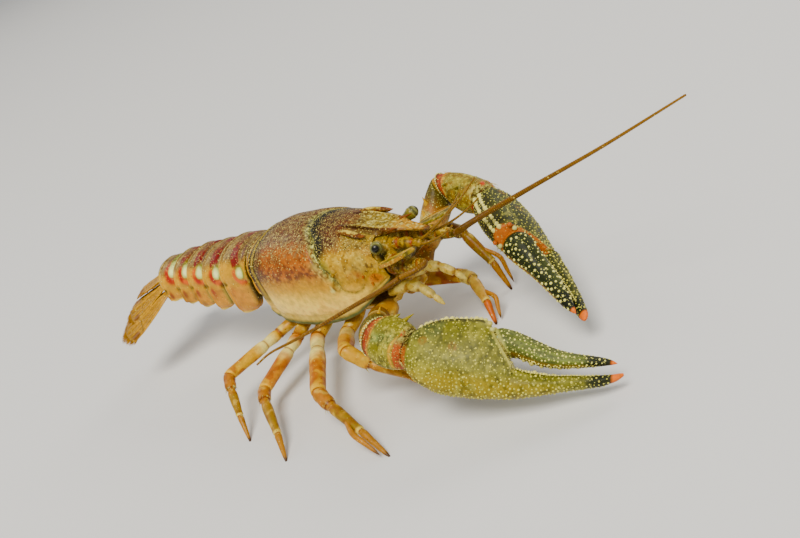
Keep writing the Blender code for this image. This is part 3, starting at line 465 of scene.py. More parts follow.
X = side_grid[..., 0]
Z = side_grid[..., 2]
soft = wander(side_grid, 3.0, 1) * 0.6 + wander(side_grid, 1.2, 2) * 0.4
fine = wander(side_grid, 0.55, 4)
behind = side_of_groove < 0
cheek = ~behind
tint = coats(plain(side_grid, "cfa55a"), [
    ("f6d8a0", step(-(Z + soft * 1.2), -22.0, -17.5)),
    ("fbdcb4", step(-(Z + soft), -19.0, -15.0) * 0.8),
    ("d8ac78", step(wander(side_grid, 2.2, 63), 0.2, 0.6) * step(-Z, -20.0, -17.0) * 0.35),
    ("b87a28", behind * step(Z + soft * 1.8, 21.8, 25.5) * 0.85),
])
patch = step(Z + soft * 1.5, 23.6, 26.6) * step(S + soft * 1.4, 1.8, 5.0)
tint = coats(tint, [
    ("ac7012", behind * patch * 0.98),
    ("7e4a18", behind * step(fine + soft * 0.6, 0.1, 0.5) * patch * 0.65),
    ("d08c2c", behind * step(-fine, 0.15, 0.5) * patch * fade(Z, 27, 30) * 0.5),
    ("745244", behind * step(Z + soft * 1.2, 29.3, 31.2) * 0.9),
    ("5c3e34", behind * fade(S + soft * 1.4, 2.4, 5.2) * step(Z + soft, 21.5, 25) * 0.85),
    ("e9d9a8", behind * bell(side_of_groove + 1.5, 1.1) * step(Z, 21, 25) * fade(Z, 26, 28) * 0.6),
    ("c4a264", cheek * step(Z + soft * 0.8, 20.0, 22.0) * 0.95),
    ("a5813e", cheek * step(soft, 0.0, 0.35) * step(Z, 21, 23) * 0.7),
    ("dcc08a", cheek * step(wander(side_grid, 0.8, 61), 0.15, 0.5) * step(Z, 20.5, 22) * 0.55),
    ("7c5c30", cheek * step(wander(side_grid, 0.5, 62), 0.35, 0.6) * step(Z, 21, 23) * 0.6),
    ("8f8a4e", cheek * fade(side_of_groove + soft, 1.2, 3.4) * step(Z, 20, 23) * 0.7),
    (
        "b8763a",
        cheek * blot(side_grid, (29.5, 22.6), (2.6, 1.7)) * (0.55 + 0.45 * np.clip(soft * 2, -1, 1)) * 0.6
    ),
    ("9aa088", cheek * blot(side_grid, (31.5, 25.6), (2.0, 2.4)) * 0.2),
    ("94682e", cheek * step(Z + soft * 0.5, 27.6, 28.8) * 0.85),
    ("a8904c", cheek * step(Z + soft * 0.6, 27.8, 28.8) * step(X + soft, 26.5, 28.5) * 0.8),
    (
        "4c3c20",
        cheek * step(Z, 27.5, 28.5) * step(X, 26.5, 28) * step(wander(side_grid, 0.6, 64), 0.1, 0.4) * 0.7
    ),
    ("573428", cheek * step(Z + soft * 0.5, 28.7, 29.6) * fade(X + soft, 25.5, 27.5) * 0.9),
    ("8c7038", cheek * step(Z + soft * 0.4, 29.9, 30.8) * step(X + soft, 26, 29) * 0.75),
    ("7a4a20", cheek * blot(side_grid, (25.5, 31.2), (3.2, 0.9)) * 0.6),
    ("3a241c", areola * 0.75),
])
freckles = behind * bell(Z + soft * 1.5 - 24.8, 1.5) * step(fine, -0.25, 0.15)
tint = over(tint, "7a4a1c", freckles * 0.85)
dust = step(Z + soft, 27.5, 30.0) * step(wander(side_grid, 0.42, 66) + 0.4 * fine, 0.05, 0.35)
tint = over(tint, "ab9682", dust * np.where(behind, 0.6, 0.4))
# A near-black band just ahead of the neck groove, high on the shield.
dark_ahead_of_groove = (
    step(side_of_groove + soft * 0.4, 0.2, 0.7) * fade(side_of_groove + soft * 1.1, 2.4, 4.6)
    * step(Z + soft, 27.0, 28.8)
)
tint = over(tint, "22261a", dark_ahead_of_groove * 0.93)
beside = step(side_of_groove, 0.3, 0.6) * fade(side_of_groove + soft * 0.8, 0.8, 2.0) * step(Z, 20.0, 22.0)
tint = coats(tint, [
    ("3c3a24", beside * (0.45 + 0.55 * step(fine, -0.3, 0.3)) * 0.85),
    ("cc8838", cheek * blot(side_grid, (33.4, 21.4), (1.6, 1.3)) * 0.75),
    (
        "5c3c20",
        cheek * step(fine + 0.3 * soft, 0.2, 0.45) * blot(side_grid, (33.0, 23.4), (2.2, 2.4)) * 0.75
    ),
    ("6e6a44", groove * 0.8),
    ("dedab0", groove * step(wander(side_grid, 0.45, 65), -0.25, 0.1) * 0.9),
    ("2e3220", groove * step(fine + 0.4 * soft, 0.1, 0.35) * step(Z, 19, 23) * 0.8),
])
lip = bell(side_of_groove - 1.0, 0.4) * step(Z, 19, 21) * fade(A, 101, 106)
tint = coats(tint, [
    ("4a4a28", lip * step(fine + soft, -0.5, 0.1) * 0.75),
    ("f0e6c0", blot(side_grid, (22.8, 20.6), (1.0, 0.9)) * step(-fine, -0.3, 0.1) * 0.9),
])
spot_ring = np.sqrt((X - 23.9) ** 2 + (Z - 20.9) ** 2)
tint = coats(tint, [
    ("5a3418", bell(spot_ring - 0.75, 0.28) * 0.85),
    ("c9b27c", np.where(spot_ring < 6, hook, 0) * 0.6),
    ("6a5c34", np.clip(hook - 0.75, 0, 0.25) * 2.4),
    ("8c8450", step(A + soft * 1.5, 120, 125.5) * 0.5),
    ("4c4c38", step(A, 126.4, 127.4) * 0.8),
    ("6e7a6a", step(A, 127.3, 127.9) * fade(A, 129.4, 130.0) * 0.8),
    ("57442e", fade(S + soft * 0.2, 0.9, 2.0) * fade(A, 112, 122) * 0.75),
    ("1e1812", bell(S - 1.4, 0.22) * fade(A, 100, 118) * 0.9),
    ("d2b880", bell(S - 0.85, 0.18) * fade(A, 100, 118) * 0.65),
    ("2e2018", fade(S, 0.25, 0.45) * fade(A, 100, 118) * 0.8),
])
upper = step(Z + soft * 1.5, 25.5, 29.0)
low_specks = np.where(
    behind, step(Z, 22.5, 26) * 0.22 + fade(S, 3, 6) * step(Z, 21, 24) * 0.3, step(Z, 19, 22) * 0.08
)
pale_specks = upper * (0.8 - 0.5 * behind * patch * fade(Z + soft * 1.2, 28.6, 30.0)) + low_specks
pale_specks = np.clip(pale_specks + groove * 0.7 + dark_ahead_of_groove * 0.45 + beside * 0.5 + lip * 0.4, 0, 0.95)
dark_specks = np.where(
    behind,
    step(Z + soft, 28.5, 31) * 0.45 + fade(S, 3, 6) * step(Z, 21, 24) * 0.5 + step(Z, 20, 23) * 0.08,
    step(Z + soft, 29.4, 30.6) * 0.35 + step(Z, 19, 22) * 0.1
)
dark_specks = np.clip(dark_specks + groove * step(Z, 18, 24) * 0.5, 0, 0.9)
inner_colour = hue("8a6c48")
shell_tint = mirrored(tint, inner_colour)
shell_pale = mirrored(pale_specks, 0)
shell_dark = mirrored(dark_specks, 0)
front = shield[-1]
# The shield's front cap is painted dark brown: painted shade in the hollow at the front of the shield.
recess_shade = hue("4c4228")
lip_front = front * np.array([0, 0.86, 0.84]) + np.array([34.2, 0, 25.4 * 0.16])
lip_rear = shield[0] * np.array([0, 0.88, 0.86]) + np.array([0.2, 0, 24.0 * 0.14])
shield = np.concatenate([lip_rear[None], shield, lip_front[None]])
shell_tint = np.concatenate([shell_tint[:1], shell_tint, np.broadcast_to(recess_shade, shell_tint[-1:].shape)])
shell_pale = np.concatenate([shell_pale[:1], shell_pale, shell_pale[-1:]])
shell_dark = np.concatenate([shell_dark[:1], shell_dark, shell_dark[-1:]])
carapace_finish = chitin("speckled shield shell", rough=0.42, coat=0.06, grain=0.25, bump=0.35)
carapace = closed_body(
    "carapace.shield", shield, carapace_finish, shell_tint, {"pale": shell_pale, "dark": shell_dark}
)
wear(carapace, "shell", "carapace")


def ring(centre, normal, side, a, b, count=10, power=2.0):
    """An oval of half widths a (towards side) and b, square to normal."""
    n = np.asarray(normal, float) / np.linalg.norm(normal)
    side = np.asarray(side, float)
    s = side - n * (side @ n)
    s /= np.linalg.norm(s)
    t = np.cross(n, s)
    angle = np.arange(count) * 2 * math.pi / count
    c = np.sign(np.cos(angle)) * np.abs(np.cos(angle)) ** (2 / power)
    d = np.sign(np.sin(angle)) * np.abs(np.sin(angle)) ** (2 / power)
    return np.asarray(centre, float) + s * (a * c)[:, None] + t * (b * d)[:, None]


def thorn(base, tip, radius, bend=0.12, sides=12):
    """Rings of a spine with a slightly hollow flank, its root sunk below the base."""
    base = np.array(base, float)
    tip = np.array(tip, float)
    way = (tip - base) / np.linalg.norm(tip - base)
    lift = np.array([0, 0, 1.0]) - way * way[2]
    size = np.linalg.norm(tip - base)
    out = []
    for share, r in [
        (-0.45, 1.15), (0, 1.0), (0.2, 0.72), (0.45, 0.5), (0.7, 0.32), (0.9, 0.16), (1.0, 0.04)
    ]:
        p = base + way * (share * size) + lift * (bend * size * share * (1 - share))
        out.append(ring(p, way, (0.3, 0.8, 0.5), radius * r, radius * r, sides))
    return np.array(out)


def joined(name, bodies, material, slot_name, nodes=(), sharp=38):
    """Several closed bodies as one piece. Each is (grid, tint, pale, dark)."""
    points, faces, tints, pales, darks = [], [], [], [], []
    first = 0
    for grid, colour, pale, dark in bodies:
        rows, cols = grid.shape[:2]
        points.append(grid.reshape(-1, 3))
        faces += grid_faces(rows, cols, first)
        faces.append([first + j for j in range(cols)][::-1])
        faces.append([first + (rows - 1) * cols + j for j in range(cols)])
        colour = hue(colour) if isinstance(colour, str) else colour
        tints.append(np.broadcast_to(colour, grid.shape).reshape(-1, 3))
        pales.append(np.broadcast_to(pale, grid.shape[:2]).reshape(-1))
        darks.append(np.broadcast_to(dark, grid.shape[:2]).reshape(-1))
        first += rows * cols
    marks = {"pale": np.concatenate(pales), "dark": np.concatenate(darks)}
    piece = shell_mesh(name, np.concatenate(points), faces, material, np.concatenate(tints), marks, sharp)
    wear(piece, slot_name, *nodes)
    return piece


BLADE = [
    (22.6, 2.3, 31.0, 0.05, 1.6, 1.5), (24.5, 2.6, 31.3, 0.2, 1.6, 1.5), (27.0, 3.0, 31.0, 0.55, 2.0, 1.5),
    (29.0, 3.1, 30.7, 0.8, 2.2, 1.45),
    (34.0, 2.9, 29.7, 0.85, 1.9, 1.3), (36.0, 2.75, 29.35, 0.8, 1.7, 0.8),
    (38.6, 2.5, 28.9, 0.7, 1.2, 0.55), (39.6, 1.9, 28.75, 0.5, 1.1, 0.5),
    (42.5, 1.15, 28.2, 0.35, 0.9, 0.5), (45.3, 0.5, 27.9, 0.15, 0.5, 0.5),
    (46.0, 0.08, 28.0, 0.03, 0.08, 0.5),
]
blade_rings = []
for x, half, z, rim, low, flare in BLADE:
    outline = [
        (-half, z), (-half * 0.95, z + rim * 0.75), (-half * 0.84, z + rim), (-half * 0.7, z + rim * 0.5),
        (-half * 0.4, z + rim * 0.25), (0, z + rim * 0.35), (half * 0.4, z + rim * 0.25),
        (half * 0.7, z + rim * 0.5),
        (half * 0.84, z + rim), (half * 0.95, z + rim * 0.75), (half, z), (half * flare, z - low * 0.6),
        (0, z - low),
        (-half * flare, z - low * 0.6),
    ]
    blade_rings.append([(x, y, zz) for y, zz in outline])
blade = skin(blade_rings, 130, 84)
inner = np.abs(blade[..., 1]) / np.interp(blade[..., 0], [b[0] for b in BLADE], [b[1] for b in BLADE])
margin = step(inner, 0.74, 0.82)
wall = step(inner, 0.9, 0.96)
mottle = wander(blade, 0.9, 3)
front_way = blade[..., 0] + mottle
tint = coats(plain(blade, "a08a48"), [
    ("5e3a2a", 1 - step(front_way, 27.0, 31)),
    ("6e5428", step(wander(blade, 0.6, 6), 0.1, 0.45) * 0.6),
    ("c59a48", step(front_way, 35, 38.5) * 0.8),
])
crest_line = step(inner + 0.03 * mottle, 0.79, 0.83) * fade(inner, 0.88, 0.92)
tint = coats(tint, [
    ("d0ba80", crest_line * step(front_way, 27, 30) * fade(blade[..., 0], 36.5, 37.6) * 0.8),
    ("dccfae", step(wander(blade, 0.45, 16), 0.15, 0.45) * step(front_way, 26, 30) * 0.65),
    ("54422c", step(wander(blade, 0.4, 26), 0.25, 0.5) * step(front_way, 26, 30) * 0.65),
    ("74522c", wall * step(front_way, 24, 28) * fade(blade[..., 0], 38, 40) * 0.8),
    ("4c2420", bell(inner - 0.97, 0.03) * step(front_way, 24, 28) * fade(blade[..., 0], 38, 40) * 0.8),
    ("7c6a3c", step(inner, 1.05, 1.2) * fade(blade[..., 0], 33, 35) * 0.9),
    ("7c4a28", margin * step(blade[..., 0], 35.0, 36.4) * fade(blade[..., 0], 40, 42) * 0.6),
    ("744424", step(blade[..., 0] + mottle * 0.6, 43.0, 45.0) * 0.8),
])
blade_pale = fade(blade[..., 0], 36, 41) * 0.5 + 0.08
parts_of_head = [(blade, tint, blade_pale, 0.2)]
for side in (-1, 1):
    for base, tip, radius, colour in [
        ((37.8, 2.2, 29.2), (40.4, 2.75, 29.8), 0.5, "8c5a30"),
        ((33.2, 7.5, 22.2), (34.5, 9.0, 22.4), 0.34, "bc8440"),
        ((24.6, 9.9, 24.0), (25.7, 11.0, 24.4), 0.36, "b89a54"),
        ((32.2, 7.8, 20.4), (33.5, 9.2, 20.3), 0.34, "bc8440"),
        ((31.0, 8.2, 22.4), (32.1, 9.6, 22.6), 0.34, "b8702c"),
    ]:
        cone = thorn((base[0], side * base[1], base[2]), (tip[0], side * tip[1], tip[2]), radius)
        reach = np.linspace(-0.45, 1, len(cone))[:, None]
        parts_of_head.append(
            (cone, over(plain(cone, colour), "8a5a2a", np.broadcast_to(0.4 - reach, cone.shape[:2])), 0, 0)
        )
    crest = []
    for x, y, z, r in [
        (24.6, 4.2, 30.75, 0.2), (26.0, 4.35, 30.8, 0.45), (27.6, 4.5, 30.75, 0.62),
        (29.4, 4.75, 30.45, 0.68), (31.2, 5.0, 30.1, 0.62),
        (32.4, 5.15, 29.95, 0.42), (33.5, 5.25, 29.95, 0.05),
    ]:
        crest.append(ring((x, side * y, z), (1, side * 0.1, -0.15), (0, 1, 0), r * 1.0, r, 12))
    crest = skin(crest, 44, 24)
    height = crest[..., 2] - np.interp(crest[..., 0], [24.6, 27.6, 33.5], [30.75, 30.75, 29.95])
    tint = coats(plain(crest, "7c4c26"), [
        ("8f6a34", step(wander(crest, 0.7, 12), -0.1, 0.4)),
        (
            "dcc68c",
            step(height + 0.2 * wander(crest, 0.5, 13), 0.36, 0.55) * step(crest[..., 0], 25.5, 27.5) * 0.85
        ),
        ("3c2a20", step(-height, -0.05, 0.3) * 0.7),
        ("94602c", step(crest[..., 0], 31.8, 32.8) * 0.9),
    ])
    parts_of_head.append((crest, tint, 0.3, 0.35))
joined("carapace.rostrum", parts_of_head, carapace_finish, "shell")


# Abdomen
# Six hard rings that slide under each other, with rounded side plates. Each ring has a dark
# crimson block high on its side, a pale oval below it and a red crescent under that.
SOMITES = [
    (3.8, 0, 2, 7.7, 5.7, 4.8, 3.4), (9.2, 2, 2, 8.7, 5.8, 8.9, 3.6), (6.4, 4, 1, 8.5, 5.2, 7.6, 3.5),
    (5.8, 6, 1, 8.0, 5.2, 6.6, 3.3), (5.4, 9, 2, 7.2, 4.9, 5.4, 3.0), (5.8, 12, 4, 6.2, 4.5, 3.9, 2.6),
]
TAIL_ROOT = np.array([-0.15, 0, 23.6])
SIDE_PLATE_SWEEP = 1.8
GAP = 0.3
UP = np.array([0, 0, 1.0])


def heading(turn_by, pitch):
    """Unit vector backwards, turned to the right and pitched down by degrees."""
    t = math.radians(turn_by)
    p = math.radians(pitch)
    return np.array([-math.cos(t) * math.cos(p), -math.sin(t) * math.cos(p), -math.sin(p)])


def unit(v):
    return np.asarray(v, float) / np.linalg.norm(v)


directions = [heading(row[1], row[2]) for row in SOMITES] + [heading(13, 14)]
tail_line = [TAIL_ROOT]
for row, d in zip(SOMITES, directions):
    tail_line.append(tail_line[-1] + d * row[0])
ring_finish = chitin("banded tail shell", rough=0.4, coat=0.06, grain=0.2, bump=0.3, clear=0.05)
PLATE = [
    (0, 0.955, 0.955, 0.62), (0.14, 0.975, 0.975, 0.86), (0.4, 0.99, 0.99, 1.0), (0.74, 1.0, 1.0, 0.98),
    (0.92, 1.0, 1.0, 0.8), (1, 0.975, 0.975, 0.6),
]
FIRST_BANDS = [
    (0.12, 0.05, "3c2420"), (0.3, 0.06, "c09a5c"), (0.42, 0.04, "54302c"),
    (0.56, 0.05, "8c5c50"), (0.7, 0.05, "c8a468"), (0.84, 0.04, "4c2c28"),
]
for i, (length, turn_by, fall, half, up, down, belly) in enumerate(SOMITES):
    start, end = tail_line[i], tail_line[i + 1]
    n_start = unit(directions[i - 1] + directions[i]) if i else np.array([-1.0, 0, 0])
    n_end = unit(directions[i] + directions[i + 1])
    rings = []
    for share, wide, tall, drop in PLATE:
        n = directions[i]
        p = start + (end - start) * share
        if share == 0:
            n = n_start
            p = p + n * GAP / 2
        if share == 1:
            n = n_end
            p = p - n * GAP / 2
        across = unit(np.cross(n, UP)) * (1 if np.cross(n, UP)[1] > 0 else -1)
        t = unit(np.cross(n, across))
        t = t if t[2] > 0 else -t
        w, h, d = half * wide, up * tall, max(down * drop, belly + 0.5)
        outline = [
            (0, h), (0.2 * w, 0.985 * h), (0.36 * w, 0.95 * h), (0.52 * w, 0.87 * h), (0.67 * w, 0.76 * h),
            (0.79 * w, 0.6 * h),
            (0.88 * w, 0.42 * h), (0.945 * w, 0.2 * h), (0.98 * w, -0.05 * h), (1.0 * w, -0.4 * h),
            (0.995 * w, -0.5 * h - 0.5 * d + 0.1 * h),
            (0.95 * w, -d + 0.35), (0.9 * w, -d), (0.84 * w, -d + 0.1), (0.79 * w, -d + 0.8),
            (0.74 * w, -belly),
            (0.36 * w, -belly - 0.4), (0, -belly - 0.4),
        ]
        sweep = directions[i] * (SIDE_PLATE_SWEEP * (d - belly) / 5 * math.sin(math.pi * share))
        half_ring = [p + across * y + t * z + (sweep if z < -d + 0.5 else 0) for y, z in outline]
        other = [p - across * y + t * z + (sweep if z < -d + 0.5 else 0) for y, z in outline[-2:0:-1]]
        rings.append(half_ring + other)
    grid = skin(rings, 64, 150)
    rel = grid - start
    share = rel @ directions[i] / length
    height = rel[..., 2] - share * length * directions[i][2]
    lateral = np.abs(rel @ unit(np.cross(directions[i], UP)))
    normal = outward(grid)
    top_side = step(height, -1, 1.5)
    swell = 0.14 * step(share, 0.25, 0.4) * top_side - 0.16 * bell(share - 0.24, 0.07) * top_side
    swell = swell + 0.12 * step(share, 0.86, 0.93) - 0.2 * bell(share - 0.84, 0.03) * 0.5
    pleuron = step(-height, 0.8, 2.2)
    edge = np.clip((height + down) / 2.0, 0, 1)
    swell = swell - 0.15 * pleuron * bell(edge - 0.35, 0.2)
    swell = swell - 0.42 * bell(height + 0.8, 0.6) * (0.35 + 0.65 * fade(share, 0.1, 0.4))
    swell = swell * step(normal @ UP + np.abs(normal[..., 1]) * 2, 0.2, 0.6)
    below = step(-(normal @ UP), 0.35, 0.7) * (np.abs(height + belly) < 1.2)
    rib = bell(share - 0.3, 0.1)
    swell = swell * (1 - below) + below * (0.3 * rib - 0.25 * bell(share - 0.62, 0.16))
    grid = grid + normal * (swell + 0.03 * wander(grid, 1.2, i))[..., None]
    soft = wander(grid, 1.6, 20 + i)
    tint = plain(grid, "c9a05a")
    band = bell(share + soft * 0.03 - 0.76, 0.14)
    tint = coats(tint, [
        ("d8ac62", band * fade(height, 3.2, 4.6) * 0.8),
        ("86705e", step(height + soft * 0.5, up * 0.5, up * 0.8) * 0.92),
        ("c2a684", band * step(height, up * 0.6, up * 0.9) * 0.5),
        ("7c6258", step(wander(grid, 0.7, 50 + i), 0.1, 0.5) * step(height, up * 0.7, up * 0.95) * 0.6),
    ])
    if not i:
        for at, wide, colour in FIRST_BANDS:
            tint = over(tint, colour, bell(share + 0.01 * soft - at, wide) * step(height, -2, 0) * 0.85)
    if i:
        eye_height = 1.4 + 0.45 * (i - 1)
        slant = share - 0.36 - 0.055 * (height - 3.0) + soft * 0.025
        block = (
            fade(np.abs(slant) * length, 0.95, 1.25)
            * step(height + soft * 0.3, eye_height + 1.0, eye_height + 1.5)
        )
        block = block * (0.35 + 0.65 * step(lateral, 0.6, 2.4))
        streak = (
            fade(np.abs(slant + 0.3) * length, 0.25, 0.55) * step(height, 3.0, 4.0)
            * step(lateral, 1.5, 3.5)
        )
        tint = coats(tint, [
            ("6b1a1c", streak * 0.8),
            ("8e0812", block * 0.97),
        ])
        oval = ((share - 0.26) * length / 1.2) ** 2 + ((height - eye_height) / 1.4) ** 2
        tint = over(tint, "8d8c4c", fade(oval, 1.0, 2.2) * 0.8)
        hollow = np.sqrt(((share - 0.24) * length / 1.75) ** 2 + ((height - eye_height + 0.3) / 1.9) ** 2)
        crescent = (
            bell(hollow + soft * 0.12 - 0.95, 0.36)
            * step(share * length - 0.24 * length + (eye_height - height) * 0.6, 0.0, 0.7)
        )
        crescent = crescent * fade(height, eye_height + 0.5, eye_height + 1.3)
        tint = coats(tint, [
            ("d47c14", np.clip(crescent * 1.3, 0, 1) * 0.97),
            ("a83c10", np.clip(crescent * 1.3, 0, 1) * step(soft + 0.35 * (i > 3), -0.15, 0.25) * 0.85),
            ("c9cfa8", fade(oval, 0.5, 1.0) * 0.92),
            ("f4f2dc", fade(oval, 0.05, 0.55) * 0.9),
        ])
        # Painted shade: a dark spot in the hinge notch at the front of each ring, and a dark patch where
        # the ring's rear edge meets the next ring.
        notch = ((share + 0.02) / 0.32) ** 2 + ((height + 1.0) / 0.9) ** 2
        tint = coats(tint, [
            ("33301e", fade(notch, 0.4, 1.4) * (0.3 if i == 1 else 0.8)),
            ("4a4426", fade(((share - 1.02) / 0.2) ** 2 + ((height + 0.7) / 0.8) ** 2, 0.4, 1.4) * 0.85),
        ])
    lobe = step(-height, 1.2, 2.4)
    tint = coats(tint, [
        ("d39c4a", lobe * 0.75),
        ("c0884a", lobe * step(soft, 0.1, 0.5) * 0.6),
        # Greyish olive over the front of each side plate: painted shade where the plate runs under the one
        # before.
        ("8f8e60", lobe * fade(share, 0.1, 0.36) * (0.8 if i > 1 else 0.3)),
    ])
    if i:
        low_mark = bell(share + 0.03 * soft - 0.7, 0.09) * bell(height + 2.3, 1.1)
        tint = coats(tint, [
            ("9c2c14", np.clip(low_mark * 1.4, 0, 1) * (0.35 if i == 1 else 0.85)),
            # A dark strip along the rear edge of each side plate: painted shade in the gap to the next
            # plate.
            ("7a5a2c", lobe * step(share, 0.88, 0.95) * 0.7),
            ("8a6a34", lobe * step(0.3 * i + soft, 0.9, 1.5) * 0.5),
        ])
    tint = coats(tint, [
        # Painted shade at the front of each ring, where it runs under the ring before: olive-dark on the
        # upper side plate and a dark strip along the front edge.
        ("3c3a24", step(-height, 0.3, 1.4) * fade(share + soft * 0.03, 0.04, 0.17) * 0.8),
        ("ecd69c", lobe * fade(edge, 0.12, 0.3) * 0.75),
        ("4a4224", fade(share, 0.02, 0.09) * 0.85),
        ("e8cd92", bell(share - 0.95, 0.03) * 0.6),
        ("5a4a28", step(share, 0.975, 1.0) * 0.5),
        ("c8b07c", below),
        ("ece0bc", below * np.clip(rib * 1.3, 0, 1) * 0.9),
        ("94804e", below * bell(share - 0.62, 0.16) * 0.7),
    ])
    pale = step(height, 1.5, 4.0) * 0.5 + 0.08
    dark = step(height, 3.0, 4.6) * 0.5 + 0.05
    piece = closed_body("abdomen.ring.%d" % (i + 1), grid, ring_finish, tint, {"pale": pale, "dark": dark})
    wear(piece, "tail", "abdomen.%d" % (i + 1))


# Swimmerets
# Four pairs of small soft paddles under the tail, each a short stalk with two thin leaves,
# hinged on the rings' undersides and edged with fine hairs.
def shades_of(colour, low, high, spots, rng):
    """The colour once for each spot, a little darker or lighter each time."""
    return np.array([hue(colour) * rng.uniform(low, high) for _ in spots])


def bristles(name, roots, ways, lengths, widths, tints, material, slot_name, flats, droop=(0, 0, -0.1)):
    """Stiff three-sided hairs as solid mesh. flats are their places on a flat unwrap."""
    roots, ways, flats = np.asarray(roots, float), np.asarray(ways, float), np.asarray(flats, float)
    lengths, widths = np.asarray(lengths, float), np.asarray(widths, float)
    n = len(roots)
    ways = ways / np.linalg.norm(ways, axis=1, keepdims=True)
    helper = np.where(np.abs(ways[:, 2:3]) < 0.9, [[0, 0, 1.0]], [[1.0, 0, 0]])
    a = np.cross(ways, helper)
    a /= np.linalg.norm(a, axis=1, keepdims=True)
    b = np.cross(ways, a)
    stations = [(-0.08, 1.0), (0.4, 0.75), (0.75, 0.45), (1.0, 0.08)]
    pts = []
    for share, wide in stations:
        mid = (
            roots + ways * (lengths * share)[:, None]
            + np.array(droop) * (lengths * share * abs(share))[:, None]
        )
        for k in range(3):
            turn_at = k * 2 * math.pi / 3
            pts.append(mid + (a * math.cos(turn_at) + b * math.sin(turn_at)) * (widths * wide)[:, None])
    pts = np.stack(pts, axis=1).reshape(-1, 3)
    faces = []
    one = grid_faces(len(stations), 3) + [[2, 1, 0], [9, 10, 11]]
    for h in range(n):
        faces += [[q + h * 12 for q in f] for f in one]
    full = np.repeat(np.broadcast_to(tints, (n, 3)), 12, axis=0)
    piece = shell_mesh(name, pts, faces, material, full, None, 60)
    layer = piece.data.uv_layers.new(name="OFBake")
    spread = (
        np.tile(np.array([[k % 3, k // 3] for k in range(12)]) * 0.0012, (n, 1))
        + np.repeat(flats, 12, axis=0)
    )
    corner = np.zeros(len(piece.data.loops), dtype=int)
    piece.data.loops.foreach_get("vertex_index", corner)
    layer.data.foreach_set("uv", np.clip(spread[corner], 0, 1).ravel())
    wear(piece, slot_name)
    return piece


def paddle_leaf(root, way, flat_way, size, wide):
    """Rings of a thin leaf from root along way."""
    rings = []
    for share, w, t in [
        (0, 0.3, 0.25), (0.2, 0.62, 0.25), (0.5, 1.0, 0.2), (0.8, 0.75, 0.15), (0.95, 0.35, 0.1),
        (1, 0.06, 0.05)
    ]:
        rings.append(ring(root + way * (size * share), way, flat_way, wide * w, t, 10))
    return skin(rings, 26, 22)


LEAF_WIDTH = 0.72
LEAF_HAIRS = 22
leaf_bodies, leaf_roots, leaf_ways, leaf_flats = [], [], [], []
for i in range(1, 5):
    length, turn_by, fall, half, up, down, belly = SOMITES[i]
    for side in (-1, 1):
        hang = unit(unit(directions[i] * 0.75 - UP * 0.66) + np.array([0, side * 0.12, 0]))
        base = (
            tail_line[i] + (tail_line[i + 1] - tail_line[i]) * 0.3 - UP * (belly + 0.4)
            + np.array([0, side * half * 0.36, 0])
        )
        stalk = skin([ring(base + hang * d, hang, (0, 1, 0), wide, thick, 10) for d, wide, thick in
                      [(-0.9, 0.55, 0.45), (0.3, 0.6, 0.45), (1.2, 0.62, 0.42), (1.7, 0.4, 0.3)]], 18, 20)
        leaf_bodies.append((stalk, "c9a862", 0.1, 0.1))
        for splay in (-0.16, 0.2):
            way = unit(hang + np.array([0, side * splay, 0]))
            root = base + hang * 1.4 + np.array([0, side * splay * 1.6, 0])
            leaf = paddle_leaf(root, way, (0, 1, 0), 3.6, LEAF_WIDTH)
            reach = along(leaf)
            leaf_bodies.append(
                (leaf, over(plain(leaf, "d2b270"), "a88a48", step(reach, 0.3, 0.9) * 0.7), 0.1, 0.05)
            )
            for k in range(LEAF_HAIRS):
                share = 0.25 + 0.75 * k / (LEAF_HAIRS - 1)
                for edge_side in (-1, 1):
                    at_edge = LEAF_WIDTH * math.sin(math.pi * (0.2 + 0.75 * share)) * edge_side
                    leaf_roots.append(root + way * (3.55 * share) + np.array([0, at_edge, 0]))
                    leaf_ways.append(way + np.array([0, edge_side * (1.1 - share), 0]))
                    leaf_flats.append((0.1 + 0.2 * i, 0.2 + 0.3 * (side > 0) + 0.2 * share))
joined("abdomen.swimmerets", leaf_bodies, ring_finish, "tail")
hair_finish = chitin("golden hair", rough=0.6, coat=0.0, grain=0.3, bump=0.0)
rng = np.random.default_rng(5)
shades = shades_of("c8ae74", 0.75, 1.15, leaf_roots, rng)
sizes = rng.uniform(0.5, 0.9, len(leaf_roots))
bristles(
    "abdomen.swimmerets.hairs", leaf_roots, leaf_ways, sizes, np.full(len(leaf_roots), 0.035), shades,
    hair_finish, "tail", leaf_flats
)


# Tail fan
# A thin telson in the middle and two pairs of blades beside it, ribbed with fine rays, with
# a fringe of stiff golden hairs along the rear edge.
FAN = tail_line[-1]
fan_finish = chitin("thin golden fan shell", rough=0.42, coat=0.1, grain=0.22, bump=0.25, clear=0.12)
BLADE_ROWS = 72
TOP_COLUMNS = 84
UNDER_COLUMNS = 36
END_FROM = 0.86
END_LENGTH = 0.14
END_CUT = 0.82
FRINGE_HAIRS = 150
TELSON_LENGTH = 14.0


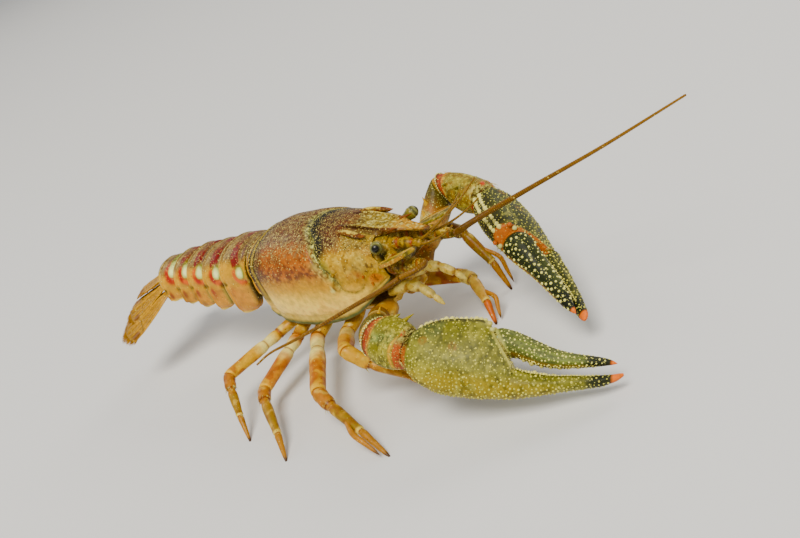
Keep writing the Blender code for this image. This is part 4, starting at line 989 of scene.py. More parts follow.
def fan_blade(name, root, d, roll, length, widths, rays, thick, node, hairs, seed):
    """A flat ribbed blade from root along d, rolled about d, and its fringe."""
    d = unit(d)
    across = unit(np.cross(d, UP))
    across = across if across[1] > 0 else -across
    up = unit(np.cross(d, across))
    up = up if up[2] > 0 else -up
    c, s = math.cos(math.radians(roll)), math.sin(math.radians(roll))
    side, lift_way = across * c + up * s, up * c - across * s
    share = np.linspace(0, 1, BLADE_ROWS)[:, None]
    hard_end = 1 - hairs
    flat_v = np.concatenate(
        [np.linspace(-1, 1, TOP_COLUMNS), np.linspace(1, -1, UNDER_COLUMNS + 2)[1:-1]]
    )[None, :]
    is_top = np.concatenate([np.ones(TOP_COLUMNS), np.zeros(UNDER_COLUMNS)])[None, :] > 0
    half = (
        table_of(widths, share * hard_end)
        * np.sqrt(np.clip(1 - np.clip((share - END_FROM) / END_LENGTH, 0, 1) ** 2 * END_CUT, 0, 1))
    )
    t = thick * (1 - 0.35 * share)
    edge = 1 - np.abs(flat_v) ** 3
    ribs = np.abs(np.cos(flat_v * rays * math.pi * 0.5 + math.pi / 2 * (rays % 2 == 0)))
    ridge = 0.22 * ribs ** 3 + 0.35 * bell(flat_v, 0.09)
    ridge = ridge * step(share, 0.02, 0.12) * fade(share, 0.9, 1.0) * edge
    high = np.where(is_top, t * (0.3 + 0.7 * edge) + ridge * 0.8, -t * 0.8 * (0.3 + 0.7 * edge))
    seam = bell(share - 0.64 - 0.04 * flat_v ** 2, 0.012)
    high = high - np.where(is_top, 0.2, 0) * seam * edge
    dish = -0.25 * flat_v ** 2 * step(share, 0.1, 0.6)
    p = root + d * (length * hard_end * share)[..., None]
    grid = p + side * (flat_v * half)[..., None] + lift_way * (high + dish)[..., None]
    grid = grid + lift_way * (0.06 * wander(grid, 2.0, seed))[..., None]
    fine_rays = 0.5 + 0.5 * np.cos(flat_v * 46 + 1.5 * wander(grid, 3.0, seed))
    tint = coats(plain(grid, "c39a34"), [
        ("8a6a20", fine_rays ** 2 * step(share, 0.05, 0.3) * 0.75),
        ("7d6a34", np.clip(seam, 0, 1) * 0.7),
        ("e4b767", bell(flat_v, 0.1) * (1 - share) * 0.7 + step(np.abs(flat_v), 0.88, 0.98) * 0.5),
        ("8a6e30", step(share + 0.1 * wander(grid, 1.5, seed), 0.8, 1.0) * 0.5),
    ])
    brown = ((share - 0.82) / 0.1) ** 2 + ((np.abs(flat_v) - 0.75) / 0.25) ** 2
    tint = coats(tint, [
        ("7c4a1c", fade(brown, 0.3, 1.3) * 0.7),
        ("b28a58", fade(share, 0.0, 0.12) * 0.6),
    ])
    piece = closed_body(name, grid, fan_finish, tint, {"pale": 0.12, "dark": 0.15}, 50)
    wear(piece, "fan", node)
    rng = np.random.default_rng(seed)
    roots, ways, lengths, flats = [], [], [], []
    for k in range(FRINGE_HAIRS):
        v = -1 + 2 * (k + rng.uniform(-0.4, 0.4)) / (FRINGE_HAIRS - 1)
        spot = 1 - 0.3 * abs(v) ** 4
        w = float(table_of(widths, min(spot * hard_end, 1.0))) * v * 0.96
        edge_share = 1 - 0.16 * abs(v) ** 3
        fold_in = math.sqrt(max(1 - max((edge_share - END_FROM) / END_LENGTH, 0) ** 2 * END_CUT, 0))
        base = (
            root + d * (length * hard_end * (edge_share - 0.02)) + side * (w * (0.35 + 0.65 * fold_in))
            - lift_way * (0.25 * v * v)
        )
        roots.append(base)
        ways.append(d + side * (0.5 * v) + lift_way * rng.uniform(-0.06, 0.06))
        lengths.append(length * hairs * rng.uniform(0.75, 1.05) * (1 - 0.35 * abs(v)))
        flats.append((0.05 + 0.9 * (v + 1) / 2, 0.9))
    shades = shades_of("b08a48", 0.75, 1.2, roots, rng)
    bristles(
        name + ".fringe", roots, ways, lengths, np.full(len(roots), 0.075), shades, hair_finish, "fan",
        flats, (0, 0, -0.05)
    )


TELSON = [(0, 3.9), (0.1, 4.3), (0.5, 4.1), (0.7, 3.9), (0.9, 3.3), (1, 1.9)]
telson_root = FAN + directions[-1] * 0.7 + np.array([0, 0, 1.7])
telson_way = heading(13, 17)
fan_blade(
    "tail.telson.plate", telson_root, telson_way, 0, TELSON_LENGTH, TELSON, 6, 0.75, "tail.telson", 0.14, 11
)
telson_across = unit(np.cross(telson_way, UP))
spines = []
for side in (-1, 1):
    for share, inset in [(0.58, 0.35), (0.61, 1.15)]:
        base = (
            telson_root + telson_way * (TELSON_LENGTH * share)
            + telson_across * (side * (float(table_of(TELSON, share)) - inset))
        )
        spines.append(
            (
                thorn(base, base + telson_way * 1.9 + telson_across * (side * 0.35) + UP * 0.25, 0.28),
                "a8803c", 0, 0
            )
        )
joined("tail.telson.spines", spines, fan_finish, "fan")
SIDES = [(-1, "r"), (1, "l")]
INNER_WIDTHS = [(0, 1.1), (0.12, 1.7), (0.5, 3.4), (0.75, 3.8), (0.9, 3.3), (1, 1.7)]
OUTER_WIDTHS = [(0, 1.1), (0.12, 1.9), (0.5, 3.8), (0.75, 4.3), (0.9, 3.7), (1, 2.0)]
for side, tag in SIDES:
    lateral = unit(np.cross(heading(13, 0), UP))
    lateral = lateral if lateral[1] * side > 0 else -lateral
    inner_root = FAN + directions[-1] * 0.9 + lateral * 3.4 + np.array([0, 0, 0.1])
    outer_root = FAN + directions[-1] * 1.0 + lateral * 4.6 - np.array([0, 0, 1.8])
    fan_blade(
        "tail.inner.plate." + tag, inner_root, heading(13 - side * 15, 20), -side * 20, 15.8, INNER_WIDTHS,
        5, 0.45, "tail.inner." + tag, 0.15, 12 + side
    )
    fan_blade(
        "tail.outer.plate." + tag, outer_root, heading(13 - side * 29, 22), -side * 22, 17.6, OUTER_WIDTHS,
        5, 0.45, "tail.outer." + tag, 0.15, 15 + side
    )


# Breast plate
# The pale underside between the legs, with a hip stub for each leg and a pair of small
# rods between the last legs.
HIPS = [
    (29.5, 8.0, 12.2, 2.3), (20.0, 9.8, 9.4, 1.6), (11.2, 10.5, 8.8, 1.6), (4.8, 10.5, 8.8, 1.45),
    (-1.2, 10.2, 9.6, 1.3)
]
LEG_POINTS = {
    ("2", -1): ((31.4, -21.6, 13.6), (34.6, -20.4, 9.8), (42.0, -17.0, 3.8), (46.0, -15.0, 0)),
    ("3", -1): ((25.0, -27.6, 7.8), (29.2, -29.6, 6.4), (39.1, -33.4, 3.6), (45.9, -35.6, 0)),
    ("4", -1): ((5.3, -25.2, 5.8), (8.2, -28.4, 5.6), (17.2, -35.6, 3.2), (21.2, -39.6, 0)),
    ("5", -1): ((-4.0, -25.2, 9.3), (-1.4, -28.0, 8.0), (3.0, -32.2, 4.2), (6.0, -35.0, 0)),
    ("2", 1): ((35.2, 14.2, 7.2), (38.6, 12.8, 7.0), (43.6, 8.6, 4.0), (46.0, 5.8, 0)),
    ("3", 1): ((29.1, 22.4, 14.8), (32.8, 22.5, 13.0), (39.0, 20.6, 6.0), (42.4, 18.8, 0)),
    ("4", 1): ((6.0, 25.0, 12.4), (4.6, 28.4, 10.4), (1.4, 32.6, 4.6), (0.0, 34.0, 0)),
    ("5", 1): ((-5.0, 21.0, 11.4), (-8.0, 23.0, 9.6), (-13.6, 25.4, 4.0), (-16.0, 26.0, 0)),
}
CLAW_POINTS = {
    -1: ((41.5, -21.8, 17.5), (50.8, -23.8, 16.0), (86.5, -14.4, 3.0), (-0.1, 0.75, 0.65)),
    1: ((32.5, 23.0, 24.8), (45.1, 20.0, 22.3), (73.9, -1.4, 5.9), (-0.06, -0.68, 0.73)),
}


def hip_chain(number, side):
    """Root in the breast plate, hip joint and radius of a limb."""
    x, y, z, radius = HIPS[number]
    return np.array([max(x, 2.6), side * 3.2, 11.2 if number else 11.9]), np.array([x, side * y, z]), radius


def halfway(a, b, c):
    """Normal of the joint plane at b of a chain that runs a, b, c."""
    return unit(unit(np.subtract(b, a)) + unit(np.subtract(c, b)))


leg_finish = chitin("amber leg shell", rough=0.38, coat=0.06, grain=0.2, bump=0.2, clear=0.08)
breast_rings = []
for x, half, low in [
    (1.6, 2.6, 11.8), (5, 4.4, 10.6), (12, 5.0, 10.0), (20, 5.0, 10.2), (27, 4.6, 10.8), (31, 3.4, 12.0)
]:
    z = BELLY - GAP
    breast_rings.append([
        (x, -half, z), (x, 0, z), (x, half, z), (x, half * 0.9, (z + low) / 2 + 0.2), (x, half * 0.45, low),
        (x, 0, low + 0.5), (x, -half * 0.45, low), (x, -half * 0.9, (z + low) / 2 + 0.2),
    ])
breast = skin(breast_rings, 110, 72)
lines = bell((breast[..., 0] - 0.2) % 6.5 - 3.2, 0.3)
breast = breast + outward(breast) * (-0.25 * lines)[..., None]
tint = over(plain(breast, "d2b07c"), "8a6a44", lines * 0.7)
bodies = [(breast, tint, 0.1, 0.1)]
for number in range(5):
    for side in (-1, 1):
        root, hip, radius = hip_chain(number, side)
        knee = np.array(CLAW_POINTS[side][0] if number == 0 else LEG_POINTS[(str(number + 1), side)][0])
        n = halfway(root, hip, knee)
        way = hip - root
        rings = [
            ring(root, way, (1, 0, 0), radius * 0.8, radius * 0.8, 12),
            ring(root + way * 0.3, way, (1, 0, 0), radius * 1.1, radius * 0.96, 12),
            ring(root + way * 0.6, way, (1, 0, 0), radius * 1.12, radius * 0.98, 12),
            ring(root + way * 0.82, way, (1, 0, 0), radius, radius * 0.94, 12),
            ring(hip - n * GAP / 2, n, (1, 0, 0), radius, radius, 12),
        ]
        stub = skin(rings, 24, 28)
        reach = np.linspace(0, 1, 24)[:, None]
        tint = coats(plain(stub, "cba468"), [
            ("a87c44", step(wander(stub, 1.3, number), -0.1, 0.4) * 0.7),
            ("ecdcb0", step(wander(stub, 0.9, number + 9), 0.2, 0.5) * 0.6),
            ("9c6c38", np.broadcast_to(step(reach, 0.9, 0.97), stub.shape[:2])),
        ])
        bodies.append((stub, tint, 0.05, 0.1))
for side in (-1, 1):
    stylet = [
        (1.0, 1.5, 12.2, 0.85), (3.0, 1.3, 10.6, 0.75), (6.0, 0.9, 9.9, 0.6), (9.6, 0.7, 9.9, 0.5),
        (11.4, 0.6, 10.2, 0.08)
    ]
    rings = [ring((x, side * y, z), (1, 0, 0), (0, 1, 0), r, r, 10) for x, y, z, r in stylet]
    bodies.append((skin(rings, 30, 16), "e3cfa2", 0, 0))
joined("thorax.plate", bodies, leg_finish, "underside", ("thorax",))


# Walking legs
# Four pairs of amber legs. A long upper length, a lower length with its wrist, and a last
# length ending in a dark nail. The first two pairs end in small pincers.
def lean(axis, joint, distance, radius):
    """Normal of a ring near a joint plane, leant so that rings never cross."""
    sideways = joint / max(axis @ joint, 0.2) - axis
    slope = np.linalg.norm(sideways)
    if slope < 1e-6:
        return axis
    return unit(axis + sideways * (max(0.0, slope - distance / (1.35 * radius)) / slope))


def limb(chain, side, stations, start_normal, end_normal, count=12, power=2.0):
    """Rings along a chain of points. A station is (leg of the chain, share, half width, half height)."""
    chain = [np.array(p, float) for p in chain]
    rings = []
    last = len(stations) - 1
    for i, (leg, share, a, b) in enumerate(stations):
        p = chain[leg] + (chain[leg + 1] - chain[leg]) * share
        axis = unit(chain[leg + 1] - chain[leg])
        n = axis
        plain = True
        if share == 0 and leg > 0:
            n = unit(n + unit(chain[leg] - chain[leg - 1]))
            plain = False
        elif leg == 0 and start_normal is not None and i > 0:
            n = lean(axis, start_normal, np.linalg.norm(p - chain[0]), max(a, b))
            plain = np.allclose(n, axis)
        if leg == len(chain) - 2 and end_normal is not None and i < last and plain:
            n = lean(axis, end_normal, np.linalg.norm(chain[-1] - p), max(a, b))
        if i == 0 and start_normal is not None:
            n = start_normal
            p = p + n * GAP / 2
        if i == last and end_normal is not None:
            n = end_normal
            p = p - n * GAP / 2
        rings.append(ring(p, n, side, a, b, count, power))
    return rings


def sleeve(spot, way, side, a, b, colour="b5482a", reach=0.9):
    """The soft skin that shows between two lengths of a limb: a short plump ring at the joint."""
    way = unit(way)
    rings = []
    for share, r in [(-1, 0.6), (-0.6, 0.82), (-0.2, 0.9), (0.2, 0.9), (0.6, 0.82), (1, 0.6)]:
        rings.append(ring(np.asarray(spot) + way * (share * reach), way, side, a * r, b * r, 12))
    return skin(rings, 14, 24), colour, 0.0, 0.0


def in_parts_of(radius, stations):
    """Stations of a limb whose half widths and heights are given in parts of a radius."""
    return [(leg, share, radius * a, radius * b) for leg, share, a, b in stations]


FLOOR_FLAT = 0.42
joint_skins = []
tufts = []
for (number, side), (knee, wrist, ankle, foot) in LEG_POINTS.items():
    root, hip, radius = hip_chain(int(number) - 1, side)
    tag = number + ("r" if side < 0 else "l")
    knee, wrist, ankle, foot = (np.array(p, float) for p in (knee, wrist, ankle, foot))
    across = unit(np.cross(knee - hip, foot - knee))
    n_hip = halfway(root, hip, knee)
    n_knee = halfway(hip, knee, wrist)
    n_ankle = halfway(wrist, ankle, foot)
    r = radius
    rings = limb([hip, knee], across, in_parts_of(r, [
        (0, 0, 0.94, 0.94), (0, 0.04, 1.03, 1.0), (0, 0.12, 1.02, 1.0), (0, 0.2, 0.88, 0.92),
        (0, 0.26, 0.84, 0.88), (0, 0.3, 0.92, 1.02), (0, 0.4, 0.93, 1.12), (0, 0.6, 0.92, 1.1),
        (0, 0.8, 0.9, 1.06), (0, 0.92, 0.94, 1.04), (0, 0.97, 0.9, 0.98), (0, 1, 0.8, 0.88),
    ]), n_hip, n_knee)
    grid = skin(rings, 90, 48)
    share = along(grid)
    mottle = wander(grid, 1.3, 7)
    grid = grid + outward(grid) * (0.03 * mottle + 0.02 * wander(grid, 0.5, 3))[..., None]
    base = "c8933e" if number != "5" else "d2aa5c"
    if tag in ("2l", "3l"):
        base = "a8702c" if tag == "2l" else "84702c"
    if tag == "2r":
        base = "cfa25a"
    tint = plain(grid, base)
    streak = wander(np.stack([share * 2.5, grid @ across / 0.7, grid[..., 0] * 0], axis=-1), 1.0, 12)
    tint = coats(tint, [
        ("ae6c20", step(mottle + streak * 0.6, 0.1, 0.5) * 0.65),
        ("dcb870", step(-mottle + streak * 0.6, 0.2, 0.6) * 0.5),
        (
            "f0e4c4",
            fade(share + 0.08 * mottle, 0.30, 0.5) * step(share, 0.02, 0.2)
            * (0.85 if number in "345" else 0.5)
        ),
        ("9a5a2a", bell(share - 0.265, 0.014) * 0.75),
        ("e8c27c", step(share, 0.93, 0.97) * 0.8),
    ])
    piece = closed_body("leg%s.thigh" % tag, grid, leg_finish, tint, {"pale": 0.05, "dark": 0.05})
    wear(piece, "leg", "leg%s.upper" % tag)
    rings = limb([knee, wrist, ankle], across, in_parts_of(r, [
        (0, 0, 0.74, 0.78), (0, 0.08, 0.88, 0.9), (0, 0.5, 0.92, 0.97), (0, 0.85, 0.92, 0.95),
        (1, 0, 0.8, 0.82),
        (1, 0.06, 0.6, 0.64), (1, 0.14, 0.68, 0.74), (1, 0.45, 0.66, 0.76), (1, 0.85, 0.54, 0.6),
        (1, 0.96, 0.54, 0.58), (1, 1, 0.46, 0.48),
    ]), n_knee, n_ankle)
    grid = skin(rings, 90, 44)
    share = along(grid)
    mottle = wander(grid, 1.2, 9)
    turn_share = (
        np.linalg.norm(wrist - knee) / (np.linalg.norm(wrist - knee) + np.linalg.norm(ankle - wrist))
    )
    low_tone, wrist_tone, end_tone = ("b88c3c", "b88448", "8f8238")
    if tag == "2l":
        low_tone, wrist_tone, end_tone = ("d4b480", "e6d09c", "c49c70")
    if tag == "3l":
        low_tone, wrist_tone, end_tone = ("94782c", "7c641f", "a08438")
    if tag == "2r":
        low_tone, wrist_tone, end_tone = ("c89a54", "d2aa68", "b08a4c")
    tint = coats(plain(grid, low_tone), [
        (wrist_tone, fade(share + 0.03 * mottle, turn_share - 0.05, turn_share) * 0.85),
        (end_tone, step(share, turn_share + 0.05, turn_share + 0.25) * (0.5 + 0.3 * mottle)),
        ("98602c", step(mottle + 0.5 * wander(grid, 0.6, 44), 0.2, 0.6) * 0.5),
        ("e0c890", step(-mottle + 0.5 * wander(grid, 0.7, 45), 0.3, 0.7) * 0.4),
        ("7c3b1c", bell(share - turn_share - 0.012, 0.015) * 0.9),
        ("ecd39a", step(share, 0.95, 0.985) * 0.8),
    ])
    bodies = [(grid, tint, 0.06, 0.06)]
    if number in "23":
        shin = unit(ankle - wrist)
        beside = unit(np.cross(across, shin))
        beside = -beside if beside @ (foot - ankle) > 0 else beside
        aim = unit(foot - ankle)
        reach = np.linalg.norm(foot - ankle)
        beside = unit(beside - aim * (beside @ aim))
        a0 = ankle - shin * (reach * 0.5) + beside * (r * 0.5)
        a1 = ankle + beside * (r * 0.96 + GAP * 1.6)
        a2 = ankle + aim * (reach * 0.86) + beside * (r * 0.42 + GAP + 0.4)
        rings = [
            ring(a0, a1 - a0, across, r * 0.3, r * 0.3, 10),
            ring(a1, a2 - a0, across, r * 0.4, r * 0.34, 10),
            ring(a1 + (a2 - a1) * 0.5, a2 - a1, across, r * 0.32, r * 0.27, 10),
            ring(a1 + (a2 - a1) * 0.85, a2 - a1, across, r * 0.17, r * 0.15, 10),
            ring(a2, a2 - a1, across, 0.04, 0.04, 10),
        ]
        nib = skin(rings, 40, 20)
        reach_share = np.linspace(0, 1, 40)[:, None]
        tint = over(
            plain(nib, "b98a3c"), "6b4a24", np.broadcast_to(step(reach_share, 0.8, 0.95), nib.shape[:2])
        )
        bodies.append((nib, tint, 0.1, 0.1))
    joined("leg%s.shin" % tag, bodies, leg_finish, "leg", ("leg%s.lower" % tag,))
    rings = limb([ankle, foot], across, in_parts_of(r, [
        (0, 0, 0.44, 0.46), (0, 0.06, 0.5, 0.5), (0, 0.3, 0.44, 0.46), (0, 0.6, 0.36, 0.37),
        (0, 0.85, 0.26, 0.27),
    ]), n_ankle, None)
    rings.append(ring(foot, (0, 0, -1), across, FLOOR_FLAT * 0.55, FLOOR_FLAT * 0.55, 12))
    grid = skin(rings, 40, 28)
    share = along(grid)
    tint = over(plain(grid, "c87c30" if tag == "2l" else "b4883c"), "5a3a1c", step(share, 0.78, 0.95))
    piece = closed_body("leg%s.nail" % tag, grid, leg_finish, tint, {"pale": 0.1, "dark": 0.1})
    wear(piece, "leg", "leg%s.tip" % tag)
    joint_skins.append(sleeve(hip, n_hip, across, r * 0.95, r * 0.95, "c08a48"))
    joint_skins.append(sleeve(knee, n_knee, across, r * 0.8, r * 0.85, "a8703a"))
    joint_skins.append(sleeve(ankle, n_ankle, across, r * 0.46, r * 0.48, "a8703a", 0.5))
    tufts.append((wrist, unit(ankle - wrist), across, r * 0.85, 26, 1.0))
    tufts.append((ankle, unit(foot - ankle), across, r * 0.5, 14, 0.8))


# Claws
# The two great pincers: arm, wrist block, palm with a fixed finger, and a movable finger
# on a slanting joint. Olive shell set with cream studs, orange-brown joints, dark bands, orange tips.
CLAW_LENGTH = 38.6
CLAW_SQUARENESS = 2.2
FIXED_BAND = (32.2, 33.6)
FIXED_ORANGE = (36.6, 37.1)
MOVING_BAND = (31.6, 32.8)
MOVING_ORANGE = (36.2, 36.7)
PALM_UPPER = [(0, 2.6), (1.6, 4.3), (3.2, 5.2), (6, 6.3), (9, 6.8), (13.6, 7.0), (16, 6.5), (20, 5.0)]
PALM_LOWER = [
    (0, -3.0), (1.6, -4.9), (5, -6.8), (10, -7.4), (15, -7.2), (20, -6.4), (24.7, -5.2), (28.7, -3.9),
    (33, -2.7), (36.3, -1.5), (38, -0.4), (38.6, 0.45),
]
FINGER_UPPER = [
    (19.8, -0.9), (21.3, -1.2), (24.1, -1.35), (27.3, -1.3), (30.9, -0.8), (34.8, -0.15), (37.3, 0.4),
    (38, 0.6), (38.6, 0.62)
]
PALM_THICK = [
    (0, 2.6), (2, 3.6), (7, 4.3), (12, 4.2), (16, 3.6), (20.8, 2.7), (27.8, 2.0), (34.8, 1.1), (38, 0.45),
    (38.6, 0.08)
]
JOINT_TOP = (13.9, 6.9)
JOINT_FOOT = (19.8, -0.9)
MOVING = [
    ((15.35, 5.5), (18.95, 0.9), 3.0), ((16.5, 5.95), (19.4, 1.0), 3.1), ((18.3, 5.8), (20.3, 0.95), 2.9),
    ((21, 5.2), (22, 0.6), 2.5), ((24, 4.2), (24.2, 0.1), 2.1), ((27, 3.4), (27, 0.1), 1.8),
    ((30, 3.1), (30, 0.55), 1.5),
    ((33, 3.05), (33, 1.1), 1.15), ((35.6, 2.95), (35.6, 1.7), 0.75), ((36.8, 2.65), (36.8, 2.05), 0.4),
    ((37.4, 2.33), (37.4, 2.27), 0.05),
]
FIXED_TEETH = [
    (21.9, 0.4), (23.5, 0.55), (25.2, 0.42), (26.8, 0.45), (28.4, 0.36), (29.9, 0.36), (31.4, 0.3),
    (32.9, 0.28)
]
MOVING_TEETH = [
    (21.2, 0.4), (22.7, 0.58), (24.5, 0.42), (26.1, 0.36), (27.7, 0.36), (29.3, 0.3), (30.9, 0.28)
]
claw_finish = chitin("studded olive claw shell", rough=0.5, coat=0.03, grain=0.2, bump=0.3, pale="d8d2a8")
stud_finish = chitin("cream stud", rough=0.35, coat=0.06, grain=0.15, bump=0.0)


def strew(grid, normal, spacing, weight, rng, most):
    """Places spread over a grid, no closer than spacing, more of them where weight is high."""
    area = np.linalg.norm(np.cross(np.gradient(grid, axis=0), np.gradient(grid, axis=1)), axis=2)
    odds = (area * weight).ravel()
    odds = odds / odds.sum()
    picks = rng.choice(len(odds), size=most * 4, p=odds)
    flat_points = grid.reshape(-1, 3)
    chosen = np.empty((0, 3))
    keep = []
    for k in picks:
        p = flat_points[k]
        if len(chosen) == 0 or ((chosen - p) ** 2).sum(axis=1).min() > spacing ** 2:
            chosen = np.vstack([chosen, p])
            keep.append(k)
            if len(keep) >= most:
                break
    keep = np.array(keep)
    return flat_points[keep], normal.reshape(-1, 3)[keep], keep


def studs(name, spots, ways, radii, heights, tints, material, slot_name, sides=8):
    """Small domes set on a surface, as one piece."""
    n = len(spots)
    ways = ways / np.linalg.norm(ways, axis=1, keepdims=True)
    helper = np.where(np.abs(ways[:, 2:3]) < 0.9, [[0, 0, 1.0]], [[1.0, 0, 0]])
    a = np.cross(ways, helper)
    a /= np.linalg.norm(a, axis=1, keepdims=True)
    b = np.cross(ways, a)
    rings = []
    for lift, wide in [(-0.6, 1.05), (0.25, 0.92), (0.75, 0.6), (0.98, 0.15)]:
        for k in range(sides):
            angle = k * 2 * math.pi / sides
            spoke = a * math.cos(angle) + b * math.sin(angle)
            rings.append(spots + ways * (heights * lift)[:, None] + spoke * (radii * wide)[:, None])
    points = np.stack(rings, axis=1).reshape(-1, 3)
    one = grid_faces(4, sides) + [list(range(sides))[::-1], [3 * sides + j for j in range(sides)]]
    faces = []
    for h in range(n):
        faces += [[q + h * 4 * sides for q in f] for f in one]
    full = np.repeat(np.broadcast_to(tints, (n, 3)), 4 * sides, axis=0)
    piece = shell_mesh(name, points, faces, material, full, None, 80)
    wear(piece, slot_name)
    return piece


for side, (elbow, wrist, tip, width_hint) in CLAW_POINTS.items():
    tag = "r" if side < 0 else "l"
    rng = np.random.default_rng(40 + side)
    root, hip, radius = hip_chain(0, side)
    elbow, wrist, tip, width_hint = (np.array(p, float) for p in (elbow, wrist, tip, width_hint))
    a = unit(tip - wrist)
    w = unit(width_hint - a * (width_hint @ a))
    n = np.cross(a, w)
    n = n if n[2] > 0 else -n
    n_hip = halfway(root, hip, elbow)
    n_elbow = halfway(hip, elbow, wrist)
    n_wrist = halfway(elbow, wrist, tip)
    stretch = np.linalg.norm(tip - wrist) / CLAW_LENGTH
    drop = (JOINT_FOOT[1] - JOINT_TOP[1]) / (JOINT_FOOT[0] - JOINT_TOP[0])

    rings = limb([hip, elbow], w, [
        (0, 0, 2.1, 2.1), (0, 0.05, 2.4, 2.3), (0, 0.12, 2.5, 2.35), (0, 0.24, 2.15, 2.1),
        (0, 0.29, 2.1, 2.0), (0, 0.33, 2.5, 2.25),
        (0, 0.5, 3.0, 2.6), (0, 0.7, 3.5, 2.9), (0, 0.88, 3.6, 3.1), (0, 0.96, 3.4, 3.0), (0, 1, 2.9, 2.6),
    ], n_hip, n_elbow)
    grid = skin(rings, 96, 64)
    share = along(grid)
    mottle = wander(grid, 1.6, 11)
    tint = coats(plain(grid, "a07a3c"), [
        ("ead9b0", fade(share + mottle * 0.06, 0.5, 0.75) * step(share, 0.28, 0.4) * 0.75),
        ("c08440", (mottle > 0.25) * fade(share, 0.6, 0.85) * 0.6),
        ("5d5a2e", step(share + mottle * 0.08, 0.68, 0.9) * 0.85),
        ("e0b45c", step(share, 0.965, 0.985) * 0.8),
    ])
    arm_way = unit(elbow - hip)
    arm_up = unit(w - arm_way * (w @ arm_way))
    bodies = [(grid, tint, 0.2 + 0.4 * step(share, 0.6, 0.9), 0.3)]
    for at, out, size in [(0.62, 3.1, 1.2), (0.74, 3.4, 1.7)]:
        base = hip + (elbow - hip) * at + arm_up * out
        bodies.append((thorn(base, base + (arm_way * 0.6 + arm_up) * size, 0.5), "d8b46e", 0, 0))
    joined("cheliped.%s.arm.shell" % tag, bodies, claw_finish, "arm", ("cheliped.%s.arm" % tag,))

    rings = limb([elbow, wrist], w, [
        (0, 0, 2.9, 2.6), (0, 0.06, 3.6, 3.1), (0, 0.2, 4.4, 3.7), (0, 0.5, 4.9, 4.1), (0, 0.75, 4.6, 3.95),
        (0, 0.93, 3.9, 3.5), (0, 1, 3.0, 2.7),
    ], n_elbow, n_wrist)
    grid = skin(rings, 84, 84)
    share = along(grid)
    normal = outward(grid)
    mottle = wander(grid, 1.4, 13)
    dent = (
        bell((grid - wrist) @ w - 1.0, 0.9) * (normal @ n > 0.3) * step(share, 0.2, 0.4)
        * fade(share, 0.75, 0.9)
    )
    trough = bell(share - 0.2, 0.05)
    lip = bell(share - 0.12, 0.025) + 0.5 * bell(share - 0.28, 0.025)
    grid = grid + normal * (0.08 * mottle - 0.35 * dent - 0.25 * trough + 0.16 * lip)[..., None]
    tint = coats(plain(grid, "908844" if side < 0 else "9a8044"), [
        ("b4aa74", step(mottle, 0.0, 0.4) * 0.6),
        # The pale blue-green on the dent in the wrist's upper face is a painted highlight.
        ("8fa084", dent * 0.6),
        ("5c562e", step(wander(grid, 0.9, 15), 0.15, 0.45) * 0.6),
        ("d6c88e", step(wander(grid, 0.6, 25), 0.3, 0.5) * 0.5),
    ])
    upper_side = step((grid - wrist) @ w, -0.6, 2.0)
    opening = 0.86 + 0.08 * upper_side
    tint = coats(tint, [
        ("dcae50", bell(share + 0.01 * mottle - opening + 0.03, 0.022) * (1 - 0.6 * upper_side) * 0.9),
        ("b8683a", step(share + 0.01 * mottle - opening, 0.0, 0.02) * (1 - upper_side) * 0.92),
        ("5c4a30", step(share + 0.02 * mottle - 0.9, 0.0, 0.02) * upper_side * 0.85),
        (
            "d8cca4",
            step(share - 0.88, 0.0, 0.02) * upper_side * step(wander(grid, 0.5, 33), 0.05, 0.3) * 0.85
        ),
    ])
    red_spot = ((share - 0.94) / 0.04) ** 2 + (((grid - wrist) @ w - 2.2) / 0.6) ** 2
    tint = coats(tint, [
        ("c4602c", fade(red_spot, 0.5, 1.3) * 0.9),
        ("8c6c48", 1 - step(share, 0.07, 0.1)),
        ("b05a38", fade(np.abs(share - 0.21), 0.065, 0.085) * 0.92),
        ("d89a44", bell(share - 0.305, 0.02) * 0.7),
        ("64403c", bell(share - 0.14, 0.016) * 0.8),
    ])
    block_way = unit(wrist - elbow)
    block_up = unit(w - block_way * (w @ block_way))
    bodies = [(grid, tint, 0.3, 0.25)]
    for at, out, size in [(0.35, 4.6, 1.1), (0.62, 4.6, 1.9)]:
        base = elbow + (wrist - elbow) * at + block_up * out
        bodies.append((thorn(base, base + (block_way * 0.9 + block_up) * size, 0.55), "a89a5c", 0.2, 0.2))
    joined("cheliped.%s.wrist.shell" % tag, bodies, claw_finish, "claw", ("cheliped.%s.wrist" % tag,))
    spots, ways, keep = strew(
        grid, normal, 0.8, (share > 0.1) * (share < 0.93) * (normal @ n > -0.4), rng, 60
    )
    sizes = rng.uniform(0.09, 0.18, len(spots))
    scattered = len(spots)
    rim = np.argmin(np.abs(share[:, 0] - 0.11))
    rim_spots = grid[rim, ::2]
    spots = np.concatenate([spots, rim_spots])
    ways = np.concatenate([ways, normal[rim, ::2]])
    sizes = np.concatenate([sizes, rng.uniform(0.16, 0.3, len(rim_spots))])
    shades = np.array(
        [hue("d3c88e")] * scattered + [hue("e4dcc0") * rng.uniform(0.5, 1.1) for _ in rim_spots]
    )
    studs("cheliped.%s.wrist.studs" % tag, spots, ways, sizes, sizes * 0.9, shades, stud_finish, "claw")

